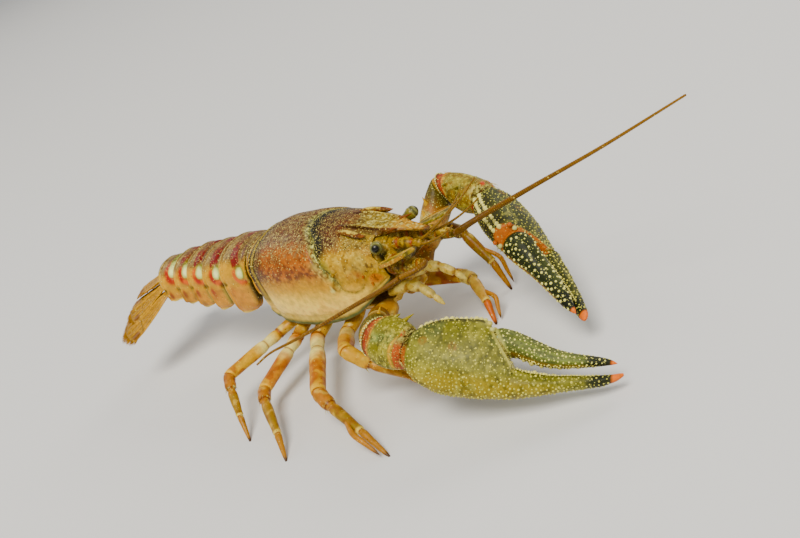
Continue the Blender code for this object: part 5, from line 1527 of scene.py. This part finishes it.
    u = np.concatenate(
        [
            np.linspace(0, 3, 18), np.linspace(3.2, 13.8, 50), np.linspace(13.9, 20.2, 44),
            np.linspace(20.4, CLAW_LENGTH, 74)
        ]
    )[:, None]
    angle = np.linspace(0, 2 * math.pi, 97)[:-1][None, :]
    c, d = np.cos(angle), np.sin(angle)
    c = np.sign(c) * np.abs(c) ** (2 / CLAW_SQUARENESS)
    d = np.sign(d) * np.abs(d) ** (2 / CLAW_SQUARENESS)
    high = np.where(u <= JOINT_FOOT[0], table_of(PALM_UPPER, u), table_of(FINGER_UPPER, u))
    low = table_of(PALM_LOWER, u)
    v = (high + low) / 2 + (high - low) / 2 * c
    v = np.where(
        u <= JOINT_FOOT[0],
        np.minimum(v, JOINT_TOP[1] + np.maximum(u - JOINT_TOP[0], 0) * drop + (u < JOINT_TOP[0]) * 9), v
    )
    t = table_of(PALM_THICK, u) * d
    plane = -(n_wrist @ w * v + n_wrist @ n * t) / (n_wrist @ a) + GAP / 2 / (n_wrist @ a)
    ahead = u * stretch + plane * (1 - np.clip(u / 6.0, 0, 1)) ** 1.5
    grid = wrist + a * ahead[..., None] + w * v[..., None] + n * t[..., None]
    normal = outward(grid)
    U = u + 0 * v
    face_cut = (
        (np.abs(v - (JOINT_TOP[1] + (U - JOINT_TOP[0]) * drop)) < 0.12) & (U > JOINT_TOP[0])
        & (U < JOINT_FOOT[0])
    )
    ridge = (
        bell(v - (high * 0.45 + low * 0.55), 0.5) * step(U, 20, 23)
        * (np.abs(t) > 0.4 * table_of(PALM_THICK, u))
    )
    dimple = np.exp(-(((U - 6.5) / 3.0) ** 2 + ((v - 1.5) / 2.2) ** 2)) * (normal @ n > 0.5)
    mottle = wander(grid, 2.4, 17)
    grid = (
        grid + normal * np.where(
            face_cut, 0, 0.07 * mottle + 0.03 * wander(grid, 0.7, 18) + 0.16 * ridge - 0.2 * dimple
        )[..., None]
    )
    base, light, cool, warm = (
        ("84804c", "a09a66", "6c745e", "b09a50") if side < 0 else ("50522e", "6c6c42", "484e3a", "6e6836")
    )
    tint = coats(plain(grid, base), [
        (light, step(mottle, 0.0, 0.5) * 0.6),
        (cool, step(wander(grid, 3.5, 19), 0.1, 0.6) * step(v, 0.5, 3.5) * 0.7),
        (warm, step(-v, 2.5, 5.5) * 0.7),
        ("54552e", step(wander(grid, 0.9, 23), 0.15, 0.5) * 0.55),
        ("b8b07c", step(wander(grid, 0.8, 27), 0.25, 0.5) * 0.4),
    ])
    for bu, bv, size in [(3.6, 1.2, 0.55), (9.2, 0.6, 0.6)]:
        ring_at = np.sqrt((U - bu) ** 2 + (v - bv) ** 2)
        tint = over(tint, "a07c44", bell(ring_at - size, 0.25) * (normal @ n > 0.3) * 0.75)
    tint = coats(tint, [
        ("3a3f26", fade(np.abs(v - high), 0.2, 0.9) * step(U, 20, 22) * 0.5),
        ("48442c", fade(np.abs(v - high + 0.2), 0.4, 1.1) * step(U, 2, 3.5) * (U < JOINT_TOP[0]) * 0.8),
    ])
    band = step(U + 0.4 * wander(grid, 0.8, 5), *FIXED_BAND)
    tint = coats(tint, [
        ("263021", band * 0.93),
        ("e08a20", step(U + 0.2 * mottle, *FIXED_ORANGE)),
        ("b4ac80" if side < 0 else "c07c44", face_cut * 0.9),
    ])
    joint_away = np.abs((v - JOINT_TOP[1]) - (U - JOINT_TOP[0]) * drop) / 1.66
    tint = coats(tint, [
        (
            "c0b88c" if side < 0 else "c07c44",
            (joint_away < 0.6) * (U > 13.2) * (U < 20.4) * step(0.6 - joint_away, 0, 0.3) * 0.8
        ),
        ("b8743c", fade(U + 0.2 * mottle, 0.7, 1.1) * fade(v, -1.0, 1.0) * 0.9),
        ("54482c", fade(U + 0.3 * mottle, 0.7, 1.2) * step(v, -1.0, 1.0) * 0.8),
    ])
    pale = np.where(U > 36.8, 0, 0.18 + 0.3 * band)
    dark = np.where(U > 36.8, 0, 0.18)
    palm = closed_body(
        "cheliped.%s.palm.shell" % tag, grid, claw_finish, tint, {"pale": pale, "dark": dark}
    )
    wear(palm, "claw", "cheliped.%s.palm" % tag)
    weight = (
        (U > 1.2) * (U < 36.5) * ~face_cut * (0.35 + 0.65 * step(-v, -1.0, 4.0) + 0.5 * step(U, 12, 20))
        * (0.6 + 0.4 * (normal @ n > -0.2))
    )
    spots, ways, keep = strew(grid, normal, 0.62, weight, rng, 900)
    at_u = U.reshape(-1)[keep]
    sizes = (
        rng.uniform(0.11, 0.2, len(spots)) * (1 + 0.3 * step(at_u, 12, 20)) * np.where(at_u > 31, 0.8, 1)
    )
    shades = shades_of("d8ce98", 0.7, 1.1, spots, rng)
    studs("cheliped.%s.palm.studs" % tag, spots, ways, sizes, sizes * 0.8, shades, stud_finish, "claw")
    BEADS = 14
    spots, ways, sizes = [], [], []
    for k in range(BEADS):
        for t_row in (-0.7, 0.7):
            bu = 1.6 + (JOINT_TOP[0] - 2.2) * k / (BEADS - 1) + rng.uniform(-0.12, 0.12)
            bv = float(table_of(PALM_UPPER, bu)) - 0.12
            spots.append(wrist + a * ((bu + 0.35 * t_row) * stretch) + w * bv + n * t_row)
            ways.append(w + n * (0.3 * t_row))
            sizes.append(rng.uniform(0.4, 0.6))
    for tu, size in FIXED_TEETH:
        spots.append(wrist + a * (tu * stretch) + w * (float(table_of(FINGER_UPPER, tu)) - 0.05))
        ways.append(w)
        sizes.append(size)
    for k in range(26):
        tu = 20.6 + 13 * k / 25
        for t_row in (-0.55, 0.55):
            spots.append(
                wrist + a * (tu * stretch) + w * (float(table_of(FINGER_UPPER, tu)) - 0.12)
                + n * (t_row * float(table_of(PALM_THICK, tu)) * 0.8)
            )
            ways.append(w + n * t_row)
            sizes.append(rng.uniform(0.16, 0.26))
    sizes = np.array(sizes)
    shades = shades_of("ece2bc", 0.75, 1.1, spots, rng)
    studs(
        "cheliped.%s.palm.beads" % tag, np.array(spots), np.array(ways), sizes, sizes * 1.05, shades,
        stud_finish, "claw", 10
    )

    tops = np.array([m[0] for m in MOVING])
    feet = np.array([m[1] for m in MOVING])
    thick = np.array([m[2] for m in MOVING])
    keys = (tops[:, 0] + feet[:, 0]) / 2
    k_line = np.linspace(keys[0], keys[-1], 130)
    top_line = spline(keys, tops, k_line)
    foot_line = spline(keys, feet, k_line)
    thick_line = spline(keys, thick, k_line)
    uu = (
        ((top_line[:, 0] + foot_line[:, 0]) / 2)[:, None]
        + ((top_line[:, 0] - foot_line[:, 0]) / 2)[:, None] * c
    )
    vv = (
        ((top_line[:, 1] + foot_line[:, 1]) / 2)[:, None]
        + ((top_line[:, 1] - foot_line[:, 1]) / 2)[:, None] * c
    )
    tt = thick_line[:, None] * d
    grid = wrist + a * (uu * stretch)[..., None] + w * vv[..., None] + n * tt[..., None]
    normal = outward(grid)
    cross_share = (
        (vv - foot_line[:, 1][:, None]) / np.maximum((top_line[:, 1] - foot_line[:, 1])[:, None], 0.1)
    )
    ridge = (
        (bell(cross_share - 0.3, 0.09) + bell(cross_share - 0.62, 0.09)) * step(uu, 19, 22)
        * fade(uu, 34, 36)
    )
    mottle = wander(grid, 1.8, 21)
    grid = grid + normal * (0.04 * mottle + 0.12 * ridge)[..., None]
    tint = coats(plain(grid, "6f7450" if side < 0 else "3c4228"), [
        ("868a60" if side < 0 else "565c3a", step(mottle, 0.0, 0.5) * 0.6),
        ("98a070" if side < 0 else "6a6e44", ridge * 0.4),
        ("2e3524", step(cross_share, 0.86, 0.97) * step(uu, 18, 20) * 0.75),
        ("a8833c", fade(cross_share, 0.05, 0.16) * 0.6),
    ])
    if side > 0:
        tint = over(tint, "c89a40", bell(cross_share - 0.74, 0.07) * (d < 0) * step(uu, 17, 19) * 0.85)
    band = step(uu + 0.4 * wander(grid, 0.8, 6), *MOVING_BAND)
    tint = coats(tint, [
        ("242c20", band * 0.93),
        ("e08a20", step(uu + 0.2 * mottle, *MOVING_ORANGE)),
        ("b8b48a" if side < 0 else "c07c40", fade(k_line[:, None] - keys[0] + 0 * uu, 0.3, 0.6) * 0.9),
    ])
    finger = closed_body(
        "cheliped.%s.finger.shell" % tag, grid, claw_finish, tint,
        {"pale": np.where(uu > 36, 0, 0.3), "dark": np.where(uu > 36, 0, 0.3)}
    )
    wear(finger, "claw", "cheliped.%s.finger" % tag)
    weight = (uu > 17) * (uu < 36) * (0.5 + np.clip(ridge, 0, 1) * 2.0 + 0.8 * step(cross_share, 0.8, 0.95))
    spots, ways, keep = strew(grid, normal, 0.62 + 0.25 * (side > 0), weight, rng, 300)
    at_u = uu.reshape(-1)[keep]
    sizes = rng.uniform(0.12, 0.21, len(spots)) * (1 + 0.6 * (side > 0))
    studs(
        "cheliped.%s.finger.studs" % tag, spots, ways, sizes, sizes * 0.8, hue("e8e0b8"), stud_finish,
        "claw"
    )
    spots, ways, sizes = [], [], []
    for tu, size in MOVING_TEETH:
        spots.append(wrist + a * (tu * stretch) + w * (float(np.interp(tu, feet[:, 0], feet[:, 1])) + 0.05))
        ways.append(-w)
        sizes.append(size)
    for k in range(24):
        tu = 20.8 + 12.5 * k / 23
        for t_row in (-0.5, 0.5):
            spots.append(
                wrist + a * (tu * stretch) + w * (float(np.interp(tu, feet[:, 0], feet[:, 1])) + 0.12)
                + n * (t_row * float(np.interp(tu, keys, thick)) * 0.8)
            )
            ways.append(-w + n * t_row)
            sizes.append(rng.uniform(0.15, 0.24))
    sizes = np.array(sizes)
    studs(
        "cheliped.%s.finger.teeth" % tag, np.array(spots), np.array(ways), sizes, sizes * 1.05,
        hue("dccfa0"), stud_finish, "claw", 10
    )

    joint_skins.append(sleeve(hip, n_hip, w, 2.2, 2.2, "c08a48"))
    joint_skins.append(sleeve(elbow, n_elbow, w, 3.15, 2.85, "a8703a", 1.3))
    joint_skins.append(sleeve(wrist, n_wrist, w, 3.15, 2.85, "6a4426", 1.3))
    hinge_mid = wrist + a * (17.0 * stretch) + w * 3.1
    hinge_way = unit(a * 1.3 + w)
    joint_skins.append(
        sleeve(
            hinge_mid, hinge_way, unit(a * -1.0 + w * 1.3), 2.9, 3.0, "a89c74" if side < 0 else "c07c40",
            0.9
        )
    )
    for at_u, at_v, size, colour in [
        (14.7, 6.1, 0.5, "c8bc90" if side < 0 else "b8743c"), (15.3, 5.0, 0.5, "d0ccb0"),
        (16.6, 3.8, 0.4, "b4b8a8")
    ]:
        for face in (-1, 1):
            middle = wrist + a * (at_u * stretch) + w * at_v + n * (face * 2.35)
            knob = [
                ring(middle + w * (size * math.sin(q)), w, a, size * math.cos(q), size * math.cos(q), 12)
                for q in np.linspace(-1.4, 1.4, 7)
            ]
            joint_skins.append((skin(knob, 14, 20), colour, 0, 0))
    tufts.append((elbow, unit(wrist - elbow), w, 3.4, 60, 0.6))
    tufts.append((wrist - a * 0.4, unit(tip - wrist), w, 3.5, 90, 0.7))
    for angle_of_tuft in np.radians([-75, -50, -28, -8, 12, 34, 58, 80]):
        middle = wrist + w * (3.5 * math.cos(angle_of_tuft)) + n * (3.0 * math.sin(angle_of_tuft)) - a * 0.3
        tufts.append(
            (
                middle, unit(w * math.cos(angle_of_tuft) + n * math.sin(angle_of_tuft) + a * 0.5), a, 0.5,
                34, 0.75
            )
        )
    for k in range(9):
        at_u = 15.0 + 4.6 * k / 8
        at_v = JOINT_TOP[1] + (at_u - JOINT_TOP[0]) * drop - 0.5
        for face in (-1, 1):
            middle = wrist + a * ((at_u + 0.2) * stretch) + w * at_v + n * (face * 2.9)
            tufts.append((middle, unit(n * face + a * 0.7), w, 0.3, 9, 0.8))
skin_finish = chitin("red joint skin", rough=0.42, coat=0.1, grain=0.15, bump=0.15)
joined("joints.skin", joint_skins, skin_finish, "arm")


# Joint hairs
# Pale stiff hairs in a ring round the wrists and fingers, where the shell ends at a joint.
rng = np.random.default_rng(71)
roots, ways, lengths, flats = [], [], [], []
for number, (spot, way, side_way, size, count, length) in enumerate(tufts):
    side_way = unit(side_way - way * (side_way @ way))
    third = np.cross(way, side_way)
    for k in range(count):
        angle = rng.uniform(0, 2 * math.pi)
        spoke = side_way * math.cos(angle) + third * math.sin(angle)
        roots.append(spot + spoke * (size * rng.uniform(0.86, 1.0)) - way * rng.uniform(0, 0.35))
        ways.append(way + spoke * rng.uniform(0.2, 0.9))
        lengths.append(length * rng.uniform(0.6, 1.1))
        flats.append(((number + 0.5) / len(tufts), 0.1 + 0.8 * angle / (2 * math.pi)))
shades = shades_of("d8cba4", 0.6, 1.15, roots, rng)
bristles(
    "joints.hairs", roots, ways, lengths, np.full(len(roots), 0.042), shades, hair_finish, "arm", flats
)


# Eyes
# A round grey-brown eye with a black end, on a short olive stalk at each side of the
# rostrum.
eye_finish = chitin("dark glossy eye", rough=0.25, coat=0.25, grain=0.15, bump=0.1, pit=0.12)
for side, tag in SIDES:
    root = np.array([34.7, side * 4.3, 27.0])
    tip = np.array([37.4, side * 7.9, 28.4])
    way = unit(tip - root)
    rings = [ring(root, (1, 0, 0), (0, 0, 1), 1.0, 0.9, 16)]
    for share, r in [
        (0.2, 0.95), (0.36, 1.04), (0.5, 1.2), (0.6, 1.34), (0.65, 1.34), (0.67, 1.26), (0.73, 1.3),
        (0.8, 1.22), (0.87, 1.02), (0.93, 0.72),
        (0.965, 0.4), (0.98, 0.08),
    ]:
        rings.append(ring(root + (tip - root) * share, way, (0, 0, 1), r, r, 16))
    grid = skin(rings, 80, 56)
    share = ((grid - root) @ way) / np.linalg.norm(tip - root)
    tint = coats(plain(grid, "7a7038"), [
        ("4e4828", step(wander(grid, 0.6, 31), 0.0, 0.4) * 0.7),
        ("9c8e5c", step(share, 0.45, 0.55) * 0.7),
        ("b0a67c", bell(share - 0.655, 0.014) * 0.9),
        ("8a8468", step(share, 0.665, 0.68)),
        ("625f4c", step(share, 0.70, 0.74)),
        ("9c9876", bell(share - 0.84, 0.05) * 0.8),
        ("1c1c1c", step(share, 0.91, 0.945)),
    ])
    piece = closed_body("eye.globe." + tag, grid, eye_finish, tint, {"pale": 0.0, "dark": 0.0})
    wear(piece, "eye", "eye." + tag)


# Antennae
# A thick three-jointed base with a flat scale outside it, and a long ringed feeler.
FEELER_LEFT = [(46.1, 5.6, 22.8), (52, 6.8, 25.0), (66, 9.0, 29.6), (82, 11.4, 34.8), (99.2, 14.0, 41.0)]
FEELER_RIGHT_ROOT = [(46.9, -6.6, 24.0), (48.0, -8.4, 24.4), (47.4, -10.6, 24.6), (44.6, -11.9, 24.0)]
FEELER_RIGHT = [
    (44.3, -12.0, 23.9), (38.5, -12.9, 21.7), (31, -13.9, 19.2), (19.6, -16.2, 15.4), (13.5, -18.6, 13.8),
    (8.6, -21.5, 12.9), (7.2, -25.0, 12.4)
]
feeler_finish = chitin("horn brown feeler", rough=0.4, coat=0.06, grain=0.2, bump=0.0, clear=0.05)
horn_finish = chitin("olive and orange horn", rough=0.38, coat=0.06, grain=0.2, bump=0.15)


def feeler(name, line, start, end, node, first=None, final=None, spacing=0.42):
    """A tapering whip of many small rings through the points of a line."""
    line = np.array(line, float)
    keys = np.arange(len(line))
    long_way = np.linalg.norm(np.diff(line, axis=0), axis=1).sum()
    count = int(long_way / spacing)
    rows = []
    path = spline(keys, line, np.linspace(0, len(line) - 1, count * 3 + 1))
    way = np.gradient(path, axis=0)
    if first is not None:
        way[0] = first
    if final is not None:
        way[-1] = final
    for i, p in enumerate(path):
        share = i / (len(path) - 1)
        radius = (start + (end - start) * share) * (1.0 if i % 3 else 0.86)
        rows.append(ring(p, way[i], UP, radius, radius, 10))
    grid = np.array(rows)
    share = along(grid)
    tint = coats(plain(grid, "8d6c3c"), [
        ("6b4a2c", (np.arange(len(grid)) % 3 == 0)[:, None] * np.ones(grid.shape[:2]) * 0.8),
        ("a07c48", step(share, 0.4, 1.0) * 0.6),
    ])
    piece = closed_body(name, grid, feeler_finish, tint, {"pale": 0.1, "dark": 0.1}, 60)
    wear(piece, "feeler", node)


cut = np.array(FEELER_RIGHT[0]) - np.array(FEELER_RIGHT_ROOT[-1])
feeler("antenna.whip.l", FEELER_LEFT, 0.78, 0.22, "antenna.feeler.l", (1, 0, 0))
feeler("antenna.turn.r", FEELER_RIGHT_ROOT, 0.78, 0.62, "antenna.bend.r", (1, 0, 0), cut)
feeler("antenna.whip.r", FEELER_RIGHT, 0.6, 0.22, "antenna.feeler.r", cut)
for side, tag in SIDES:
    end = np.array(FEELER_RIGHT_ROOT[0] if side < 0 else FEELER_LEFT[0])
    line = [
        (34.6, side * 3.7, 24.0), (36.2, side * 4.3, 23.9), (38.6, side * 5.9, 23.3),
        (41.4, side * 6.2, 23.0)
    ]
    line = [np.array(p, float) for p in line]
    line.append(end - np.array([0.35, 0, 0]))
    rings = []
    for leg, share, a, b in [
        (0, 0, 1.25, 1.3), (0, 1, 1.4, 1.5), (1, 0.35, 2.3, 2.1), (1, 0.9, 2.15, 1.95),
        (1, 0.98, 1.9, 1.75), (2, 0.06, 1.5, 1.45), (2, 0.2, 1.62, 1.6),
        (2, 0.75, 1.6, 1.5), (2, 0.9, 1.45, 1.35), (3, 0.0, 1.15, 1.1), (3, 0.1, 1.3, 1.2),
        (3, 0.6, 1.25, 1.2), (3, 0.85, 1.0, 1.0), (3, 1.0, 0.85, 0.85),
    ]:
        p = line[leg] + (line[leg + 1] - line[leg]) * share
        rings.append(ring(p, (1, 0, 0), (0, 1, 0), a, b, 12))
    grid = skin(rings, 110, 48)
    mottle = wander(grid, 1.0, 33)
    tint = coats(plain(grid, "a08444"), [
        ("c8a45c", step(mottle, 0.0, 0.4) * 0.8),
        ("5e4e28", step(wander(grid, 0.6, 35), 0.1, 0.4) * 0.75),
        ("e0cc98", step(wander(grid, 0.5, 39), 0.3, 0.55) * 0.6),
    ])
    for joint_x in (38.5, 41.5, end[0] - 1.2):
        tint = coats(tint, [
            ("a86a2c", bell(grid[..., 0] - joint_x, 0.3) * 0.85),
            ("3a2c18", bell(grid[..., 0] - joint_x - 0.35, 0.1) * 0.7),
        ])
    bodies = [(grid, tint, 0.4, 0.15)]
    rings = []
    for x, half, y in [
        (36.2, 0.8, 7.2), (37.2, 1.25, 7.6), (38.2, 1.5, 7.8), (41.5, 1.8, 7.9), (44.5, 1.5, 7.6),
        (46.2, 0.7, 7.4), (47.4, 0.05, 8.1)
    ]:
        z = 24.4 + (x - 36.2) * 0.3
        hump = 0.55 if x < 47 else 0.05
        rim = 0.3 if x < 47 else 0.05
        rings.append([
            (x, side * (y - half), z + rim * 0.7), (x, side * (y - half * 0.6), z + hump * 0.5),
            (x, side * y, z + hump), (x, side * (y + half * 0.7), z + hump * 0.3),
            (x, side * (y + half * 0.9), z + hump * 0.9), (x, side * (y + half), z + rim),
            (x, side * (y + half), z - rim), (x, side * y, z - rim * 1.3), (x, side * (y - half), z - rim),
        ])
    scale_grid = skin(rings, 60, 45)
    y_rel = np.abs(scale_grid[..., 1])
    tint = coats(plain(scale_grid, "948440"), [
        ("4c4a28", bell(y_rel - 7.1 - 0.1 * mottle[:60, :45], 0.22) * 0.8),
        ("d2aa50", bell(y_rel - 7.8, 0.3) * 0.8),
        ("54481f", bell(y_rel - 8.5, 0.16) * 0.7),
        ("b88a3c", step(y_rel, 8.8, 9.2) * 0.8),
        ("e0cc94", step(wander(scale_grid, 0.5, 36), 0.3, 0.55) * 0.5),
    ])
    bodies.append((scale_grid, tint, 0.3, 0.15))
    joined("antenna.horn." + tag, bodies, horn_finish, "feeler", ("antenna.base." + tag,))


# Antennules
# The short inner pair: a jointed base below the rostrum with two fine whips.
for side, tag in SIDES:
    rings = []
    for x, r in [
        (34.75, 1.05), (36.5, 1.2), (37.9, 1.2), (38.15, 0.95), (38.4, 0.9), (38.7, 1.0), (41.4, 0.98),
        (41.7, 0.78), (42.0, 0.72), (42.3, 0.8), (44.0, 0.75), (44.25, 0.5)
    ]:
        rings.append(ring((x, side * 1.95, 26.2 - (x - 34.75) * 0.06), (1, 0, 0), (0, 1, 0), r, r, 12))
    grid = skin(rings, 80, 32)
    tint = coats(plain(grid, "a88a48"), [
        ("62502a", step(wander(grid, 0.6, 37), 0.05, 0.35) * 0.75),
        ("cdb068", step(wander(grid, 0.9, 38), 0.2, 0.5) * 0.6),
    ])
    for joint_x in (38.2, 41.8):
        tint = over(tint, "a85a24", bell(grid[..., 0] - joint_x, 0.3) * 0.85)
    bodies = [(grid, tint, 0.3, 0.15)]
    for start, end in [
        ((43.2, side * 1.6, 25.9), (59.0, side * 2.8, 36.0)),
        ((43.2, side * 2.3, 25.5), (56.0, side * 5.0, 30.5))
    ]:
        start, end = np.array(start), np.array(end)
        rows = []
        for i in range(121):
            share = i / 120
            p = start + (end - start) * share + np.array([0, 0, -1.6]) * (share * (1 - share) * 2)
            r = (0.34 - 0.17 * share) * (0.85 if i % 3 == 0 else 1)
            rows.append(ring(p, end - start, (0, 1, 0), r, r, 8))
        bodies.append((np.array(rows), "9a7a44", 0.1, 0.2))
    joined("antennule.whips." + tag, bodies, feeler_finish, "feeler", ("antennule." + tag,))


# Face
# The hard skin between the shield's front edges that carries eyes, feelers and mouth: a swollen
# golden plate, an upper lip below it and two biting jaws, all fused with the head.
face_finish = chitin("golden face skin", rough=0.4, coat=0.06, grain=0.25, bump=0.3)


def swelling(stations, count=72):
    """A domed body from oval rings square to the long axis: (x, y, z, half width, half height)."""
    rings = [ring((x, y, z), (1, 0, 0), (0, 1, 0), wide, tall, 16, 2.3) for x, y, z, wide, tall in stations]
    return skin(rings, 60, count)


def weathered(grid, base, light, dark, seed):
    """Mottled tint of the face skin."""
    tint = coats(plain(grid, base), [
        (light, step(wander(grid, 1.1, seed), 0.0, 0.4) * 0.7),
        (dark, step(wander(grid, 0.8, seed + 1), 0.1, 0.4) * 0.75),
    ])
    return over(tint, "dccaa0", step(wander(grid, 0.45, seed + 2), 0.3, 0.55) * 0.6)


face_bodies = []
plate = swelling(
    [
        (33.0, 0, 24.1, 6.9, 4.7), (34.6, 0, 24.1, 6.8, 4.6), (35.6, 0, 24.0, 6.2, 4.1),
        (36.4, 0, 23.8, 5.2, 3.4), (37.0, 0, 23.6, 3.6, 2.2), (37.3, 0, 23.5, 1.6, 0.9)
    ]
)
plate = plate + outward(plate) * (0.12 * wander(plate, 1.3, 51) + 0.06 * wander(plate, 0.6, 52))[..., None]
face_bodies.append((plate, weathered(plate, "8a7840", "b4924c", "4a3c22", 53), 0.3, 0.2))
lip_plate = swelling(
    [
        (30.0, 0, 17.2, 4.2, 2.6), (33.0, 0, 17.8, 4.0, 2.6), (35.0, 0, 18.6, 3.4, 2.3),
        (36.2, 0, 19.2, 2.4, 1.7), (36.8, 0, 19.5, 1.0, 0.8)
    ]
)
lip_plate = lip_plate + outward(lip_plate) * (0.1 * wander(lip_plate, 0.9, 54))[..., None]
face_bodies.append((lip_plate, weathered(lip_plate, "b08a50", "d8b880", "6a4828", 55), 0.15, 0.15))
for side in (-1, 1):
    jaw = swelling(
        [
            (31.0, side * 2.2, 15.9, 1.4, 1.3), (33.0, side * 2.0, 16.2, 1.5, 1.4),
            (34.8, side * 1.6, 16.8, 1.3, 1.2), (35.8, side * 1.2, 17.2, 0.8, 0.8),
            (36.2, side * 1.0, 17.3, 0.3, 0.3)
        ],
        40
    )
    face_bodies.append((jaw, weathered(jaw, "d2b078", "ecd8a8", "8a6030", 57), 0.1, 0.1))
joined("head.face", face_bodies, face_finish, "mouth")


# Mouth limbs
# The third pair of mouth limbs, folded under the head, cream coloured.
mouth_finish = chitin("cream mouth limb", rough=0.38, coat=0.06, grain=0.18, bump=0.15, clear=0.08)
for side, tag in SIDES:
    line = [
        (31.6, side * 3.0, 15.4), (37.0, side * 3.4, 16.8), (40.2, side * 3.8, 16.4),
        (43.0, side * 4.2, 14.4), (45.0, side * 4.4, 12.4)
    ]
    line = [np.array(p, float) for p in line]
    rings = []
    for leg, share, a, b in [
        (0, 0, 1.6, 1.0), (0, 0.5, 1.8, 1.1), (0, 0.9, 1.5, 1.1), (0, 0.98, 1.2, 0.95), (1, 0.08, 1.0, 0.9),
        (1, 0.2, 1.18, 1.05), (1, 0.6, 1.25, 1.1), (1, 0.92, 1.05, 0.98),
        (2, 0.02, 0.8, 0.75), (2, 0.15, 0.92, 0.87), (2, 0.6, 1.0, 0.9), (2, 0.92, 0.8, 0.78),
        (3, 0.03, 0.55, 0.52), (3, 0.15, 0.64, 0.62), (3, 0.7, 0.45, 0.45), (3, 0.97, 0.12, 0.12),
    ]:
        p = line[leg] + (line[leg + 1] - line[leg]) * share
        rings.append(ring(p, line[leg + 1] - line[leg], (0, 1, 0), a, b, 12))
    grid = skin(rings, 130, 40)
    tint = plain(grid, "d9bd84")
    for joint in line[1:4]:
        tint = over(
            tint, "a5773f", fade(np.abs((grid - joint) @ unit(line[2] - line[1])), 0.15, 0.45) * 0.7
        )
    tint = over(tint, "efe2c0", (wander(grid, 1.2, 41) > 0) * 0.4)
    piece = closed_body("maxilliped.limb." + tag, grid, mouth_finish, tint, {"pale": 0.1, "dark": 0.15})
    wear(piece, "mouth", "maxilliped." + tag)
